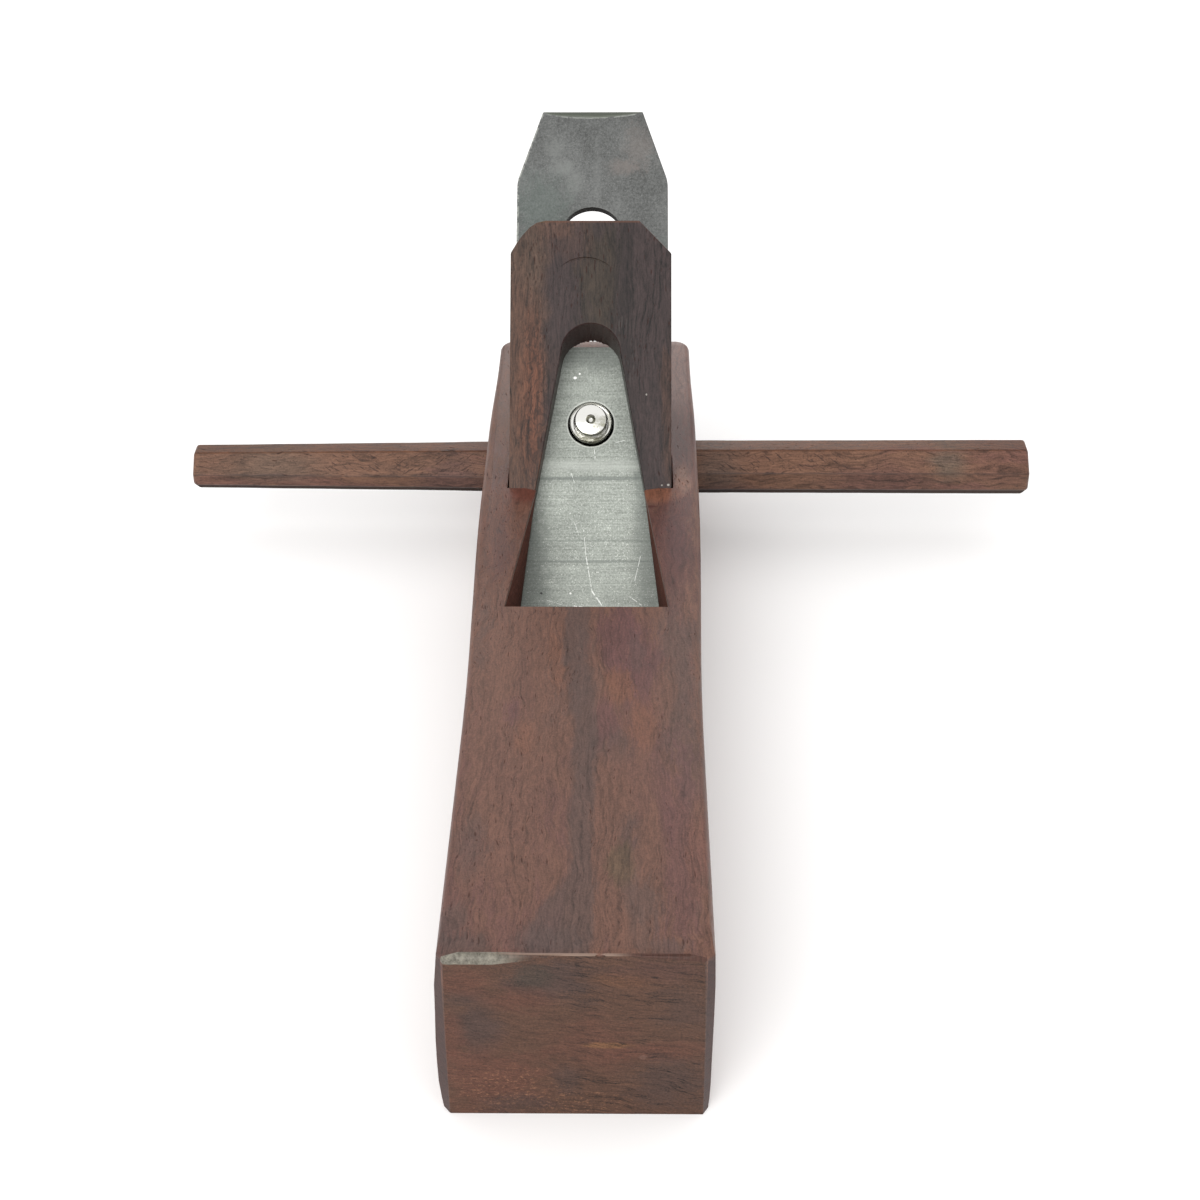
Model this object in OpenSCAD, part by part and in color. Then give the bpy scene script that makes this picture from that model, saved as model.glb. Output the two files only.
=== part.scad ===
// Wooden bench plane with a cross handle, a forked wedge and a double iron.
// The origin is on the sole at mid length. +Y runs from toe to heel, +Z is up.

/* [Stock] */
// Length of the stock from toe to heel
stock_len = 280; // [250:5:330]
// Height of the stock from sole to top
stock_h = 46; // [42:1:54]
// Width of the stock at its toe, across the swell of its sides
toe_w = 57.4; // [54:0.2:60]
// Width of the stock beside the throat and the handle
cheek_w = 61.4; // [59:0.2:66]
// Width of the stock near its heel
heel_w = 60.2; // [56:0.2:64]
// How much the top is narrower than the swell, on each side
top_lean = 0.5; // [0.2:0.1:1.2]
// How much the sole is narrower than the swell, on each side
sole_tuck = 1.2; // [0.4:0.1:2]
// Height of the swell above the sole
swell_z = 15; // [10:1:22]
// Radius along the two long top edges
top_round = 2; // [1:0.25:4]
// Bevel at the upright corners of the toe
toe_bevel = 2; // [0.5:0.25:4]
// Radius at the upright corners of the heel
heel_round = 5; // [3:0.5:8]
// Bevel along the top edge of the toe and of the heel
end_bevel = 1.2; // [0.4:0.1:2]

/* [Bed and throat] */
// Angle of the bed above the sole
bed_angle = 45; // [43:0.5:48]
// Place where the bed meets the sole, behind mid length
bed_foot_y = 18.9; // [10:0.1:24]
// Opening along the top between the bed and the ears
ear_gap = 18.6; // [17:0.1:21]
// Place of the throat's front edge, ahead of mid length
throat_ahead = 13.4; // [8:0.2:20]
// Width of the throat at its front edge
throat_front_w = 41.6; // [38:0.2:43]
// Width between the ears at the wedge
throat_rear_w = 29.8; // [27:0.2:33]
// Thickness that is left of each ear at the mouth
ear_tip = 1; // [0.5:0.1:2]
// Depth of the pared corner on top of each ear
ear_pare = 1.8; // [0.5:0.1:3]
// Length of the pared corner along the ear
ear_pare_len = 8; // [4:0.5:12]
// Gap in the sole in front of the cutting edge
mouth_gap = 1.5; // [0.6:0.1:3]

/* [Iron] */
// Width of the iron
iron_w = 44; // [40:0.5:45]
// Thickness of the iron
iron_t = 3.2; // [2.6:0.1:4]
// Length of the iron along its front face
iron_len = 172; // [160:1:200]
// Width of the iron's top edge between its clipped corners
iron_top_w = 29.3; // [20:0.1:36]
// Length of the clipped corners down the iron's sides
iron_clip = 21.8; // [10:0.2:30]
// Angle of the ground bevel on the back of the edge
bevel_angle = 25; // [22:1:32]
// Diameter of the round hole that lets the screw's head through
iron_hole_d = 18; // [17.6:0.1:20]
// Distance from the iron's top edge to the middle of the round hole
iron_hole_from_top = 39; // [34:0.5:44]
// Width of the long slot under the round hole
iron_slot_w = 13; // [12.4:0.1:14]
// Height of the cutting edge above the sole
edge_lift = 0.1; // [0.05:0.05:0.4]

/* [Cap iron] */
// Thickness of the cap iron
cap_t = 2.6; // [2:0.1:3.5]
// Length of the cap iron from its lip to its top end
cap_len = 98; // [92:0.5:104]
// Distance that the lip is set back from the cutting edge
lip_back = 1; // [0.6:0.1:3]
// How much narrower the cap iron is than the iron
cap_narrower = 0.4; // [0:0.1:1]
// Height of the hump behind the lip, over the iron
hump_h = 3.6; // [3.4:0.1:4.4]
// Length from the lip to the top of the hump
hump_len = 9; // [7:0.5:10]
// Length from the top of the hump back to the flat
hump_run = 7; // [4:0.5:8]
// Height of the hollow under the hump
hollow_h = 0.8; // [0.4:0.1:1.2]

/* [Cap screw] */
// Outer diameter of the screw's thread
thread_d = 11.7; // [10:0.1:12]
// Diameter of the screw's domed nose
nose_d = 9.8; // [8:0.1:9.9]
// Height of the whole nose in front of the cap iron
nose_h = 4.8; // [3:0.1:6]
// Height of the nose's dome
dome_h = 1.5; // [0.8:0.1:2]
// Height of the last thread crest in front of the cap iron
crest_h = 1.7; // [1:0.1:2.4]
// Depth of the dimple in the middle of the dome
dimple_depth = 0.7; // [0.3:0.1:1]
// Width of the countersink around the screw
sink_w = 0.6; // [0.2:0.1:1]
// Diameter of the screw's flat head behind the iron
head_d = 17; // [15:0.1:17.2]
// Thickness of the screw's head
head_t = 3.2; // [2:0.1:3.6]
// Width of the driver slot in the head
driver_w = 1.8; // [1.2:0.1:2.4]
// Depth of the driver slot in the head
driver_depth = 1.4; // [0.8:0.1:1.8]
// Distance from the cap iron's lip to the screw's axis
screw_from_lip = 74.6; // [72:0.2:78]

/* [Wedge] */
// Taper of the wedge between its front and its back
wedge_taper = 6.3; // [5:0.1:8]
// Length of the wedge above the ears
wedge_above = 75.6; // [70:0.2:80]
// Length of the wedge's legs below the ears
wedge_below = 33.5; // [28:0.5:34]
// Width of the wedge's top edge between its clipped corners
wedge_top_w = 27; // [20:0.5:32]
// Length of the clipped corners down the wedge's sides
wedge_clip = 9.4; // [6:0.2:14]
// Radius of the arch over the fork
arch_r = 8.3; // [7.2:0.1:10]
// Distance from the wedge's top to the top of the arch
arch_from_top = 29.3; // [26:0.1:33]
// Bevel along the top front edge of the wedge
wedge_bevel = 2; // [0.5:0.1:3]

/* [Cross handle] */
// Reach of the handle to the left of the stock's middle
handle_left = 120.7; // [100:0.1:140]
// Reach of the handle to the right of the stock's middle
handle_right = 130.4; // [110:0.1:150]
// Height of the handle at its left end
handle_left_h = 12.3; // [10:0.1:13]
// Height of the handle where it leaves the stock on the left
handle_in_h = 14.1; // [13.2:0.1:14.6]
// Height of the handle where it leaves the stock on the right
handle_out_h = 14.9; // [14.7:0.1:15.2]
// Height of the handle at its right end
handle_right_h = 15.4; // [15.3:0.1:18]
// Width of the handle's section against its height
handle_flat = 1.22; // [1:0.02:1.4]
// Share of the section's width that stays flat on top
handle_top_share = 0.34; // [0.25:0.01:0.5]
// Share of the section's height that stays flat in front
handle_side_share = 0.36; // [0.25:0.01:0.5]
// Bevel around both ends of the handle
handle_bevel = 1.2; // [0.4:0.1:2]
// Place of the handle behind mid length
handle_y = 95; // [90:0.5:104]
// Height of the handle's middle above the sole
handle_z = 25.2; // [22:0.2:28]

/* [Clearances] */
// Gap between the flat faces that slide on each other
face_gap = 0.05; // [0.02:0.01:0.1]
// Gap between the iron and each side of the slot
iron_side_gap = 1; // [0.4:0.1:1.4]
// Gap between the wedge and each side of the slot
wedge_side_gap = 0.4; // [0.2:0.1:0.8]
// Gap around the screw's thread in the cap iron
thread_gap = 0.05; // [0.02:0.01:0.1]
// Gap around the screw's head in the groove of the bed
head_gap = 1.3; // [0.6:0.1:2]
// Gap around the handle in its mortise
mortise_gap = 0.08; // [0.03:0.01:0.1]
// Free run of the screw below its place in the iron's slot
slot_spare = 4; // [1:0.5:6]

/* [Hidden] */
$fn = 64;

// How far a cutting shape runs past the face that it opens
past = 2;
// Steps along each round stretch of the stock
round_steps = 5;
// Steps up the swelling sides of the stock
side_steps = 7;
// Steps along each curved stretch in plan
plan_steps = 7;
// Start and end of the stretch where the stock widens, and of the one where it narrows again
widen_from = -62;
widen_to = bed_foot_y + 26;
narrow_from = handle_y - 10;
narrow_to = handle_y + 27;

bed_run = stock_h / tan(bed_angle);
bed_top_y = bed_foot_y + bed_run;
ear_y = bed_top_y - ear_gap;
ear_angle = bed_angle + wedge_taper;
slot_w = iron_w + 2 * iron_side_gap;
throat_y = -throat_ahead;

// Heights of the stacked faces in front of the bed
iron_back = face_gap;
iron_front = iron_back + iron_t;
cap_back = iron_front + face_gap;
cap_front = cap_back + cap_t;
wedge_back = cap_front + face_gap;

// Places along the bed, counted up from the top of the stock
edge_u = (edge_lift - stock_h - iron_front * cos(bed_angle)) / sin(bed_angle);
iron_top_u = edge_u + iron_len;
hole_u = iron_top_u - iron_hole_from_top;
lip_u = edge_u + lip_back;
cap_top_u = lip_u + cap_len;
screw_u = lip_u + screw_from_lip;
slot_end_u = screw_u - slot_spare;
ear_u = -ear_gap * cos(bed_angle);
ear_off = ear_gap * sin(bed_angle);
wedge_top_u = ear_u + wedge_above;
wedge_tip_u = ear_u - wedge_below;
arch_u = wedge_top_u - arch_from_top - arch_r;

edge_y = bed_foot_y - iron_front / sin(bed_angle);
mouth_y = edge_y - mouth_gap;
wedge_w = slot_w - 2 * wedge_side_gap;
cap_w = iron_w - cap_narrower;
groove_w = head_d + 2 * head_gap;
groove_depth = head_t + face_gap + head_gap;
groove_end_u = screw_u - head_d - head_gap;
seat_reach = cheek_w / 2 + 3;

function smooth(t) = t * t * (3 - 2 * t);
function ease(a, b, t) = a + (b - a) * smooth(min(max(t, 0), 1));
function share(v, a, b) = (v - a) / (b - a);

// Half the stock's width at its swell, at a place along its length
function half_at(y) = y < narrow_from
    ? ease(toe_w, cheek_w, share(y, widen_from, widen_to)) / 2
    : ease(cheek_w, heel_w, share(y, narrow_from, narrow_to)) / 2;

// How far the side falls back from the swell at a height
function fall_back(z) = z > swell_z
    ? top_lean * pow(share(z, swell_z, stock_h - top_round), 2)
    : sole_tuck * pow(1 - z / swell_z, 2.5);

// One side of the stock's section from the sole up, for a half width and a loss of height
function side_points(half, loss) = concat(
    [for (i = [0:side_steps])
        let (z = (stock_h - top_round) * pow(i / side_steps, 1.4))
        [half - fall_back(z), z * (stock_h - loss) / stock_h]],
    [for (i = [1:round_steps])
        let (a = 90 * i / round_steps)
        [half - top_lean - top_round * (1 - cos(a)),
         stock_h - loss - top_round * (1 - sin(a))]]);

// The whole section: left side up, right side down
function section(y, half, loss) =
    let (side = side_points(half, loss), n = len(side))
    concat([for (p = side) [-p[0], y, p[1]]],
           [for (i = [n - 1:-1:0]) [side[i][0], y, side[i][1]]]);

// Places along the stock, each with its half width and loss of height
function stations() =
    let (toe = -stock_len / 2, heel = stock_len / 2)
    concat(
        [[toe, half_at(toe) - toe_bevel, end_bevel]],
        [[toe + toe_bevel, half_at(toe), 0]],
        [for (i = [0:plan_steps])
            let (y = widen_from + (widen_to - widen_from) * i / plan_steps)
            [y, half_at(y), 0]],
        [for (i = [0:plan_steps - 3])
            let (y = narrow_from + (narrow_to - narrow_from) * i / (plan_steps - 3))
            [y, half_at(y), 0]],
        [for (i = [0:round_steps])
            let (a = 90 * i / round_steps)
            [heel - heel_round * (1 - sin(a)),
             half_at(heel) - heel_round * (1 - cos(a)),
             end_bevel * (1 - cos(a))]]);

// A closed skin over a row of sections that all have as many points
module loft(rows) {
    n = len(rows[0]);
    m = len(rows);
    polyhedron(
        points = [for (r = rows) for (p = r) p],
        faces = concat(
            [[for (j = [0:n - 1]) j]],
            [[for (j = [n - 1:-1:0]) (m - 1) * n + j]],
            [for (i = [0:m - 2]) for (j = [0:n - 1])
                [i * n + j, (i + 1) * n + j, i * n + (j + 1) % n]],
            [for (i = [0:m - 2]) for (j = [0:n - 1])
                [i * n + (j + 1) % n, (i + 1) * n + j, (i + 1) * n + (j + 1) % n]]),
        convexity = 4);
}

// Lays its children out on the bed: x across, y up the bed, z square off it
module on_bed() {
    translate([0, bed_top_y, stock_h]) rotate([bed_angle, 0, 0]) children();
}

// Turns a flat outline on edge and runs it across the plane
module across(w) {
    rotate([90, 0, 90]) linear_extrude(w, center = true) children();
}

// Throat and slot seen from the side, from the front wall to the bed
module throat_outline() {
    run = bed_run / stock_h;
    lean = (mouth_y - throat_y) / stock_h;
    polygon([
        [throat_y - lean * past, stock_h + past],
        [bed_top_y + run * past, stock_h + past],
        [bed_foot_y - run * past, -past],
        [mouth_y + lean * past, -past]]);
}

// Everything behind the sloping faces of the ears
module behind_ears() {
    translate([0, ear_y, stock_h])
        rotate([ear_angle, 0, 0])
            translate([-slot_w, -stock_len, -stock_len])
                cube([2 * slot_w, 2 * stock_len, stock_len]);
}

// The space between the flared inner walls of the ears
module between_ears() {
    rear = throat_rear_w / 2;
    along = (throat_front_w - throat_rear_w) / 2 / (ear_y - throat_y);
    down = (slot_w / 2 - ear_tip - rear - along * (ear_y - mouth_y)) / stock_h;
    function wall(y, z) = rear + along * (ear_y - y) + down * (stock_h - z);
    top = stock_h + past;
    function ring(y) = [for (c = [[-1, -past], [-1, top], [1, top], [1, -past]])
        [c[0] * wall(y, c[1]), y, c[1]]];
    loft([ring(throat_y - throat_front_w), ring(bed_top_y + throat_rear_w)]);
}

// The corner that is pared off the top of one ear, beside the wedge
module pared_corner(side) {
    inner = throat_rear_w / 2 - past;
    outer = slot_w / 2;
    front = ear_y - ear_pare_len;
    back = ear_y + past;
    corners = [
        [outer, back, stock_h + past],
        [inner, front, stock_h],
        [inner, back, stock_h - ear_pare],
        [inner, back, stock_h + past]];
    outward = [[0, 1, 2], [0, 3, 1], [0, 2, 3], [1, 3, 2]];
    polyhedron(
        points = [for (c = corners) [side * c[0], c[1], c[2]]],
        faces = [for (f = outward) side > 0 ? f : [f[0], f[2], f[1]]]);
}

// Flattened eight-sided section of the handle at a place across the plane
function handle_section(x, h, grow) =
    let (w = h * handle_flat / 2 + grow, t = h / 2 + grow,
         fw = h * handle_flat * handle_top_share / 2 + grow / 2,
         ft = h * handle_side_share / 2 + grow / 2)
    [for (c = [[w, -ft], [w, ft], [fw, t], [-fw, t], [-w, ft], [-w, -ft], [-fw, -t], [fw, -t]])
        [x, handle_y + c[0], handle_z + c[1]]];

module mortise() {
    slope = (handle_out_h - handle_in_h) / 2 / seat_reach;
    loft([
        handle_section(-seat_reach - past, handle_in_h - slope * past, mortise_gap),
        handle_section(seat_reach + past, handle_out_h + slope * past, mortise_gap)]);
}

// Groove in the bed that the screw's head runs in
module head_groove() {
    on_bed() translate([0, 0, -groove_depth]) {
        translate([-groove_w / 2, groove_end_u, 0])
            cube([groove_w, stock_h - groove_end_u, groove_depth + past]);
        translate([0, groove_end_u, 0])
            cylinder(d = groove_w, h = groove_depth + past);
    }
}

module stock() {
    color("#6f4a40") difference() {
        loft([for (s = stations()) section(s[0], s[1], s[2])]);
        intersection() {
            across(slot_w) throat_outline();
            behind_ears();
        }
        intersection() {
            across(slot_w) throat_outline();
            between_ears();
        }
        for (side = [-1, 1]) pared_corner(side);
        head_groove();
        mortise();
    }
}

module iron() {
    half = iron_w / 2;
    top_half = iron_top_w / 2;
    color("#5d6263") on_bed() difference() {
        translate([0, 0, iron_back]) linear_extrude(iron_t) difference() {
            polygon([
                [-half, edge_u],
                [half, edge_u],
                [half, iron_top_u - iron_clip],
                [top_half, iron_top_u],
                [-top_half, iron_top_u],
                [-half, iron_top_u - iron_clip]]);
            translate([0, hole_u]) circle(d = iron_hole_d);
            translate([0, slot_end_u]) circle(d = iron_slot_w);
            translate([-iron_slot_w / 2, slot_end_u])
                square([iron_slot_w, hole_u - slot_end_u]);
        }
        translate([0, edge_u, iron_front])
            rotate([-bevel_angle, 0, 0])
                translate([-iron_w, -past, -iron_w])
                    cube([2 * iron_w, 2 * iron_w, iron_w]);
    }
}

// The cap iron seen from the side, with its hump, lip and hollow
module cap_outline() {
    steps = 8;
    flat_u = lip_u + hump_len + hump_run;
    hollow_from = lip_u + cap_t / 2;
    polygon(concat(
        [[cap_top_u, cap_back], [cap_top_u, cap_front]],
        [for (i = [0:steps])
            let (t = i / steps)
            [flat_u - hump_run * t, ease(cap_front, cap_back + hump_h, t)]],
        [for (i = [1:steps])
            let (a = 90 * i / steps)
            [lip_u + hump_len * (1 - sin(a)), cap_back + hump_h * cos(a)]],
        [for (i = [0:steps])
            let (t = i / steps)
            [hollow_from + (flat_u - hollow_from) * t, cap_back + hollow_h * sin(180 * t)]]));
}

module cap_iron() {
    bore_d = thread_d + 2 * thread_gap;
    color("#8f9894") on_bed() difference() {
        across(cap_w) cap_outline();
        translate([0, screw_u, cap_back - past])
            cylinder(d = bore_d, h = cap_t + 2 * past);
        translate([0, screw_u, cap_front - sink_w])
            cylinder(d1 = bore_d, d2 = bore_d + 2 * (sink_w + past), h = sink_w + past);
    }
}

// The screw seen from the side on one half, from its head to its nose
module screw_outline() {
    steps = 6;
    head_low = -head_t;
    crest = cap_front + crest_h;
    neck = (thread_d - nose_d) / 2;
    nose = cap_front + nose_h;
    dimple_r = dimple_depth;
    polygon(concat(
        [[0, head_low], [head_d / 2, head_low], [head_d / 2, 0], [thread_d / 2, 0]],
        [[thread_d / 2, crest], [nose_d / 2, crest + neck / 2]],
        [for (i = [0:steps])
            let (a = 90 * i / steps, r = nose_d / 2 * cos(a))
            if (r > dimple_r) [r, nose - dome_h * (1 - sin(a))]],
        [[dimple_r, nose], [0, nose - dimple_depth]]));
}

module cap_screw() {
    color("#d9dad6") on_bed() translate([0, screw_u, 0]) difference() {
        rotate_extrude() screw_outline();
        translate([-head_d, -driver_w / 2, -head_t - past])
            cube([2 * head_d, driver_w, driver_depth + past]);
    }
}

// The wedge seen from the front, with its clipped corners, arch and legs
module wedge_face() {
    half = wedge_w / 2;
    top_half = wedge_top_w / 2;
    leg_half = throat_rear_w / 2 + wedge_side_gap / 2;
    spread = (leg_half - arch_r) / (arch_u - ear_u);
    foot_half = arch_r + spread * (arch_u - wedge_tip_u + past);
    difference() {
        polygon([
            [-half, wedge_tip_u],
            [half, wedge_tip_u],
            [half, wedge_top_u - wedge_clip],
            [top_half, wedge_top_u],
            [-top_half, wedge_top_u],
            [-half, wedge_top_u - wedge_clip]]);
        translate([0, arch_u]) circle(r = arch_r);
        polygon([
            [-arch_r, arch_u],
            [-foot_half, wedge_tip_u - past],
            [foot_half, wedge_tip_u - past],
            [arch_r, arch_u]]);
    }
}

// The wedge seen from the side, from its thin tips to its bevelled top
module wedge_side() {
    rise = tan(wedge_taper);
    front = ear_off - face_gap;
    function front_at(u) = front + rise * (u - ear_u);
    polygon([
        [wedge_tip_u, wedge_back],
        [wedge_top_u, wedge_back],
        [wedge_top_u, front_at(wedge_top_u) - wedge_bevel / 2],
        [wedge_top_u - wedge_bevel, front_at(wedge_top_u - wedge_bevel)],
        [wedge_tip_u, front_at(wedge_tip_u)]]);
}

module wedge() {
    color("#4f3f3a") on_bed() intersection() {
        linear_extrude(stock_h) wedge_face();
        across(wedge_w + past) wedge_side();
    }
}

module cross_handle() {
    left = -handle_left;
    right = handle_right;
    b = handle_bevel;
    color("#735148") loft([
        handle_section(left, handle_left_h, -b),
        handle_section(left + b, handle_left_h, 0),
        handle_section(-seat_reach, handle_in_h, 0),
        handle_section(seat_reach, handle_out_h, 0),
        handle_section(right - b, handle_right_h, 0),
        handle_section(right, handle_right_h, -b)]);
}

stock();
iron();
cap_iron();
cap_screw();
wedge();
cross_handle();
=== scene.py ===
import math
import random

import bmesh
import bpy
from mathutils import Matrix, Vector


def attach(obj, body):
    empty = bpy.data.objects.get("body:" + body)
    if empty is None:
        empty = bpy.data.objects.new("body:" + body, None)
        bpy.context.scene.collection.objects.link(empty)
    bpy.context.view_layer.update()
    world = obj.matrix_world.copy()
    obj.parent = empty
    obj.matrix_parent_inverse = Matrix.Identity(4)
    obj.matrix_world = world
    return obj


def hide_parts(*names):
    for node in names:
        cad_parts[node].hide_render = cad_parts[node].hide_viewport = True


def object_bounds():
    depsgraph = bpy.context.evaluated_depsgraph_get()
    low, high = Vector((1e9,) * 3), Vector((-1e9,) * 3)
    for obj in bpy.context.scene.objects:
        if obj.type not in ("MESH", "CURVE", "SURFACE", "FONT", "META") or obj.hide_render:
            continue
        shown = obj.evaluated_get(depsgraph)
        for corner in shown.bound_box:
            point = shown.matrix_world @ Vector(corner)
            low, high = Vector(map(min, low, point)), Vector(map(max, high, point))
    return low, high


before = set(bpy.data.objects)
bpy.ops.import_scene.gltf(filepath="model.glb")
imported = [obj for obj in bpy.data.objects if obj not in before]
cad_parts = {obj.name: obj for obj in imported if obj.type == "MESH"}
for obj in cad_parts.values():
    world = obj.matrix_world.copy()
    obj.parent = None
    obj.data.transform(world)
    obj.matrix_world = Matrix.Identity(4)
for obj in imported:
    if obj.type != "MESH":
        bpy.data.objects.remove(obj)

cad_low, cad_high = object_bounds()

# The camera and the studio
# The photograph was taken from in front of the toe and above it, on a white sheet in
# bright soft light. A wide window behind the camera's left gives the faint shadows.
MM = 0.001
CAMERA_PLACE = Vector((10.5, -441.1, 329.4)) * MM
CAMERA_PITCH = math.radians(33.34)
CAMERA_YAW = math.radians(-0.94)
CAMERA_ROLL = math.radians(-0.42)
CAMERA_LENS = 60.8
SENSOR = 36.0
SKY_STRENGTH = 1.08
SHEET_SIZE = 6.0
SHEET_DROP = 0.05 * MM
SHEET_WHITE = 0.95


def turned_camera(pitch, yaw, roll):
    """The camera's rotation from its pitch below the horizon, its yaw to the right and its roll."""
    ahead = Vector((math.sin(yaw) * math.cos(pitch), math.cos(yaw) * math.cos(pitch), -math.sin(pitch)))
    right = ahead.cross(Vector((0, 0, 1))).normalized()
    up = right.cross(ahead)
    rolled_right = right * math.cos(roll) + up * math.sin(roll)
    rolled_up = up * math.cos(roll) - right * math.sin(roll)
    return Matrix((rolled_right, rolled_up, -ahead)).transposed()


def soft_light(name, place, aim, size, watts, tint):
    """A square soft box at a place, turned to what it lights."""
    lamp = bpy.data.lights.new(name, "AREA")
    lamp.shape = "SQUARE"
    lamp.size = size
    lamp.energy = watts
    lamp.color = tint
    made = bpy.data.objects.new(name, lamp)
    made.location = place
    made.rotation_euler = (aim - place).to_track_quat("-Z", "Y").to_euler()
    bpy.context.scene.collection.objects.link(made)


def connect(tree, value, socket):
    """Links an output to a socket, or sets the socket's own value."""
    if isinstance(value, bpy.types.NodeSocket):
        tree.links.new(value, socket)
    else:
        socket.default_value = value


def wire(tree, kind, inputs=None, **settings):
    """Adds a node with its settings, and fills its inputs by name or by number."""
    made = tree.nodes.new(kind)
    for name, value in settings.items():
        setattr(made, name, value)
    for name, value in (inputs or {}).items():
        connect(tree, value, made.inputs[name])
    return made


def new_material(name):
    """An empty node material and its tree."""
    material = bpy.data.materials.new(name)
    material.use_nodes = True
    material.node_tree.nodes.clear()
    return material, material.node_tree


def surface(tree, **inputs):
    """Ends a material in one Principled BSDF with these inputs."""
    named = {key.replace("_", " "): value for key, value in inputs.items()}
    shader = wire(tree, "ShaderNodeBsdfPrincipled", named)
    wire(tree, "ShaderNodeOutputMaterial", {"Surface": shader.outputs[0]})


camera_data = bpy.data.cameras.new("camera")
camera_data.lens = CAMERA_LENS
camera_data.sensor_width = SENSOR
camera_data.clip_start = 0.01
camera = bpy.data.objects.new("camera", camera_data)
camera_turn = turned_camera(CAMERA_PITCH, CAMERA_YAW, CAMERA_ROLL)
camera.matrix_world = Matrix.Translation(CAMERA_PLACE) @ camera_turn.to_4x4()
bpy.context.scene.collection.objects.link(camera)
bpy.context.scene.camera = camera
bpy.context.scene.view_settings.view_transform = "Standard"

plane_middle = (cad_low + cad_high) / 2
soft_light("front_window", Vector((-0.62, -1.89, 1.34)), plane_middle, 1.8, 34.0, (1.0, 0.985, 0.97))
soft_light("back_wall", Vector((0.0, 2.0, 0.62)), plane_middle, 0.7, 4.5, (1.0, 0.97, 0.95))

sky = bpy.data.worlds.new("studio")
sky.use_nodes = True
sky.node_tree.nodes["Background"].inputs["Color"].default_value = (1.0, 0.99, 0.985, 1)
sky.node_tree.nodes["Background"].inputs["Strength"].default_value = SKY_STRENGTH
bpy.context.scene.world = sky

sheet_mesh = bpy.data.meshes.new("white_sheet")
sheet_corners = [(x * SHEET_SIZE / 2, y * SHEET_SIZE / 2, -SHEET_DROP)
                 for x, y in ((-1, -1), (1, -1), (1, 1), (-1, 1))]
sheet_mesh.from_pydata(sheet_corners, [], [(0, 1, 2, 3)])
sheet = bpy.data.objects.new("white_sheet", sheet_mesh)
bpy.context.scene.collection.objects.link(sheet)
sheet_material, sheet_tree = new_material("white_sheet")
surface(sheet_tree, Base_Color=(SHEET_WHITE, SHEET_WHITE, SHEET_WHITE, 1), Roughness=0.9)
sheet_mesh.materials.append(sheet_material)

# The stock
# One block of rosewood, its sides planed to a slight swell. The bed, the throat and the
# ears are sawn and chiselled out, the arrises are eased by hand and the wood is oiled.
WELD = 0.002 * MM
FLAT_ANGLE = math.radians(0.4)
ARRIS_ANGLE = math.radians(28)
SMOOTH_ANGLE = math.radians(40)
STOCK_EASE = 0.4 * MM
THROAT_EASE = 0.15 * MM
STOCK_TOP = 46.0
TOE_Y = -140.0
TOE_CREST = 45.75
TOE_FACE = (-27.2, 26.7)
TOE_SIDES = ((0.0, 28.75, 27.9), (2.9, 29.1, 28.1), (7.6, 29.5, 28.3), (13.4, 29.6, 28.35), (20.1, 29.55, 28.45),
             (27.5, 29.3, 28.55), (35.5, 29.1, 28.6), (44.0, 28.3, 28.4))
CORNER_CUTS = (((-28.2, TOE_Y, 42.6), (-26.0, TOE_Y, TOE_CREST), (-29.2, TOE_Y + 6, STOCK_TOP)),
               ((-27.3, TOE_Y, 44.4), (-23.6, TOE_Y, TOE_CREST), (-28.9, TOE_Y + 14, STOCK_TOP)),
               ((28.0, TOE_Y, 42.9), (25.9, TOE_Y, TOE_CREST), (29.0, TOE_Y + 6, STOCK_TOP)),
               ((27.0, TOE_Y, 44.5), (23.0, TOE_Y, TOE_CREST), (28.4, TOE_Y + 14, STOCK_TOP)))
LEFT_BEVEL = ((-30.0, 2.0), (-27.7, 2.35), (-24.5, 2.7), (-21.0, 2.75), (-17.0, 2.42), (-13.3, 1.95), (-9.3, 1.42),
              (-3.9, 0.7), (1.3, 0.0))
RIGHT_BEVEL = ((9.0, 0.0), (14.0, 0.58), (19.0, 1.12), (23.0, 1.5), (26.5, 1.8), (30.0, 2.0))
BEVEL_LEAN = 0.26
LEFT_EAR_FACET = ((-14.4, 46.9, 45.3), (-19.0, 46.9, 46.05), (-15.5, 35.0, 46.05), (-14.5, 46.9, 47.5))
RIGHT_EAR_FACET = ((14.4, 46.9, 45.4), (20.3, 46.9, 46.05), (15.7, 37.0, 46.05), (14.5, 46.9, 47.5))
CHIP_PLACE = (5.2, TOE_Y, 45.95)
CHIP_SIZE = (1.3, 0.7, 0.85)
CHECK_FROM = (25.4, 54.2, STOCK_TOP)
CHECK_TO = (28.6, 54.9, STOCK_TOP)
CHECK_WIDTH = 0.22

TAN = (0.116, 0.056, 0.039)
ORANGE = (0.140, 0.060, 0.036)
PURPLE = (0.096, 0.043, 0.041)
MUTED = (0.084, 0.050, 0.041)
SLATE = (0.066, 0.043, 0.038)
GREEN = (0.082, 0.053, 0.030)
LEFT_EAR = (0.090, 0.036, 0.022)
RIGHT_EAR = (0.070, 0.028, 0.024)
DUSKY = (0.062, 0.028, 0.028)
PORE_DARK = (0.032, 0.013, 0.010, 1)
WAX = (0.175, 0.165, 0.135, 1)
WOOD_IOR = 1.33


def calc(tree, operation, *values, clamp=False):
    """One Math node's result."""
    made = wire(tree, "ShaderNodeMath", operation=operation, use_clamp=clamp)
    for socket, value in zip(made.inputs, values):
        connect(tree, value, socket)
    return made.outputs[0]


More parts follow.
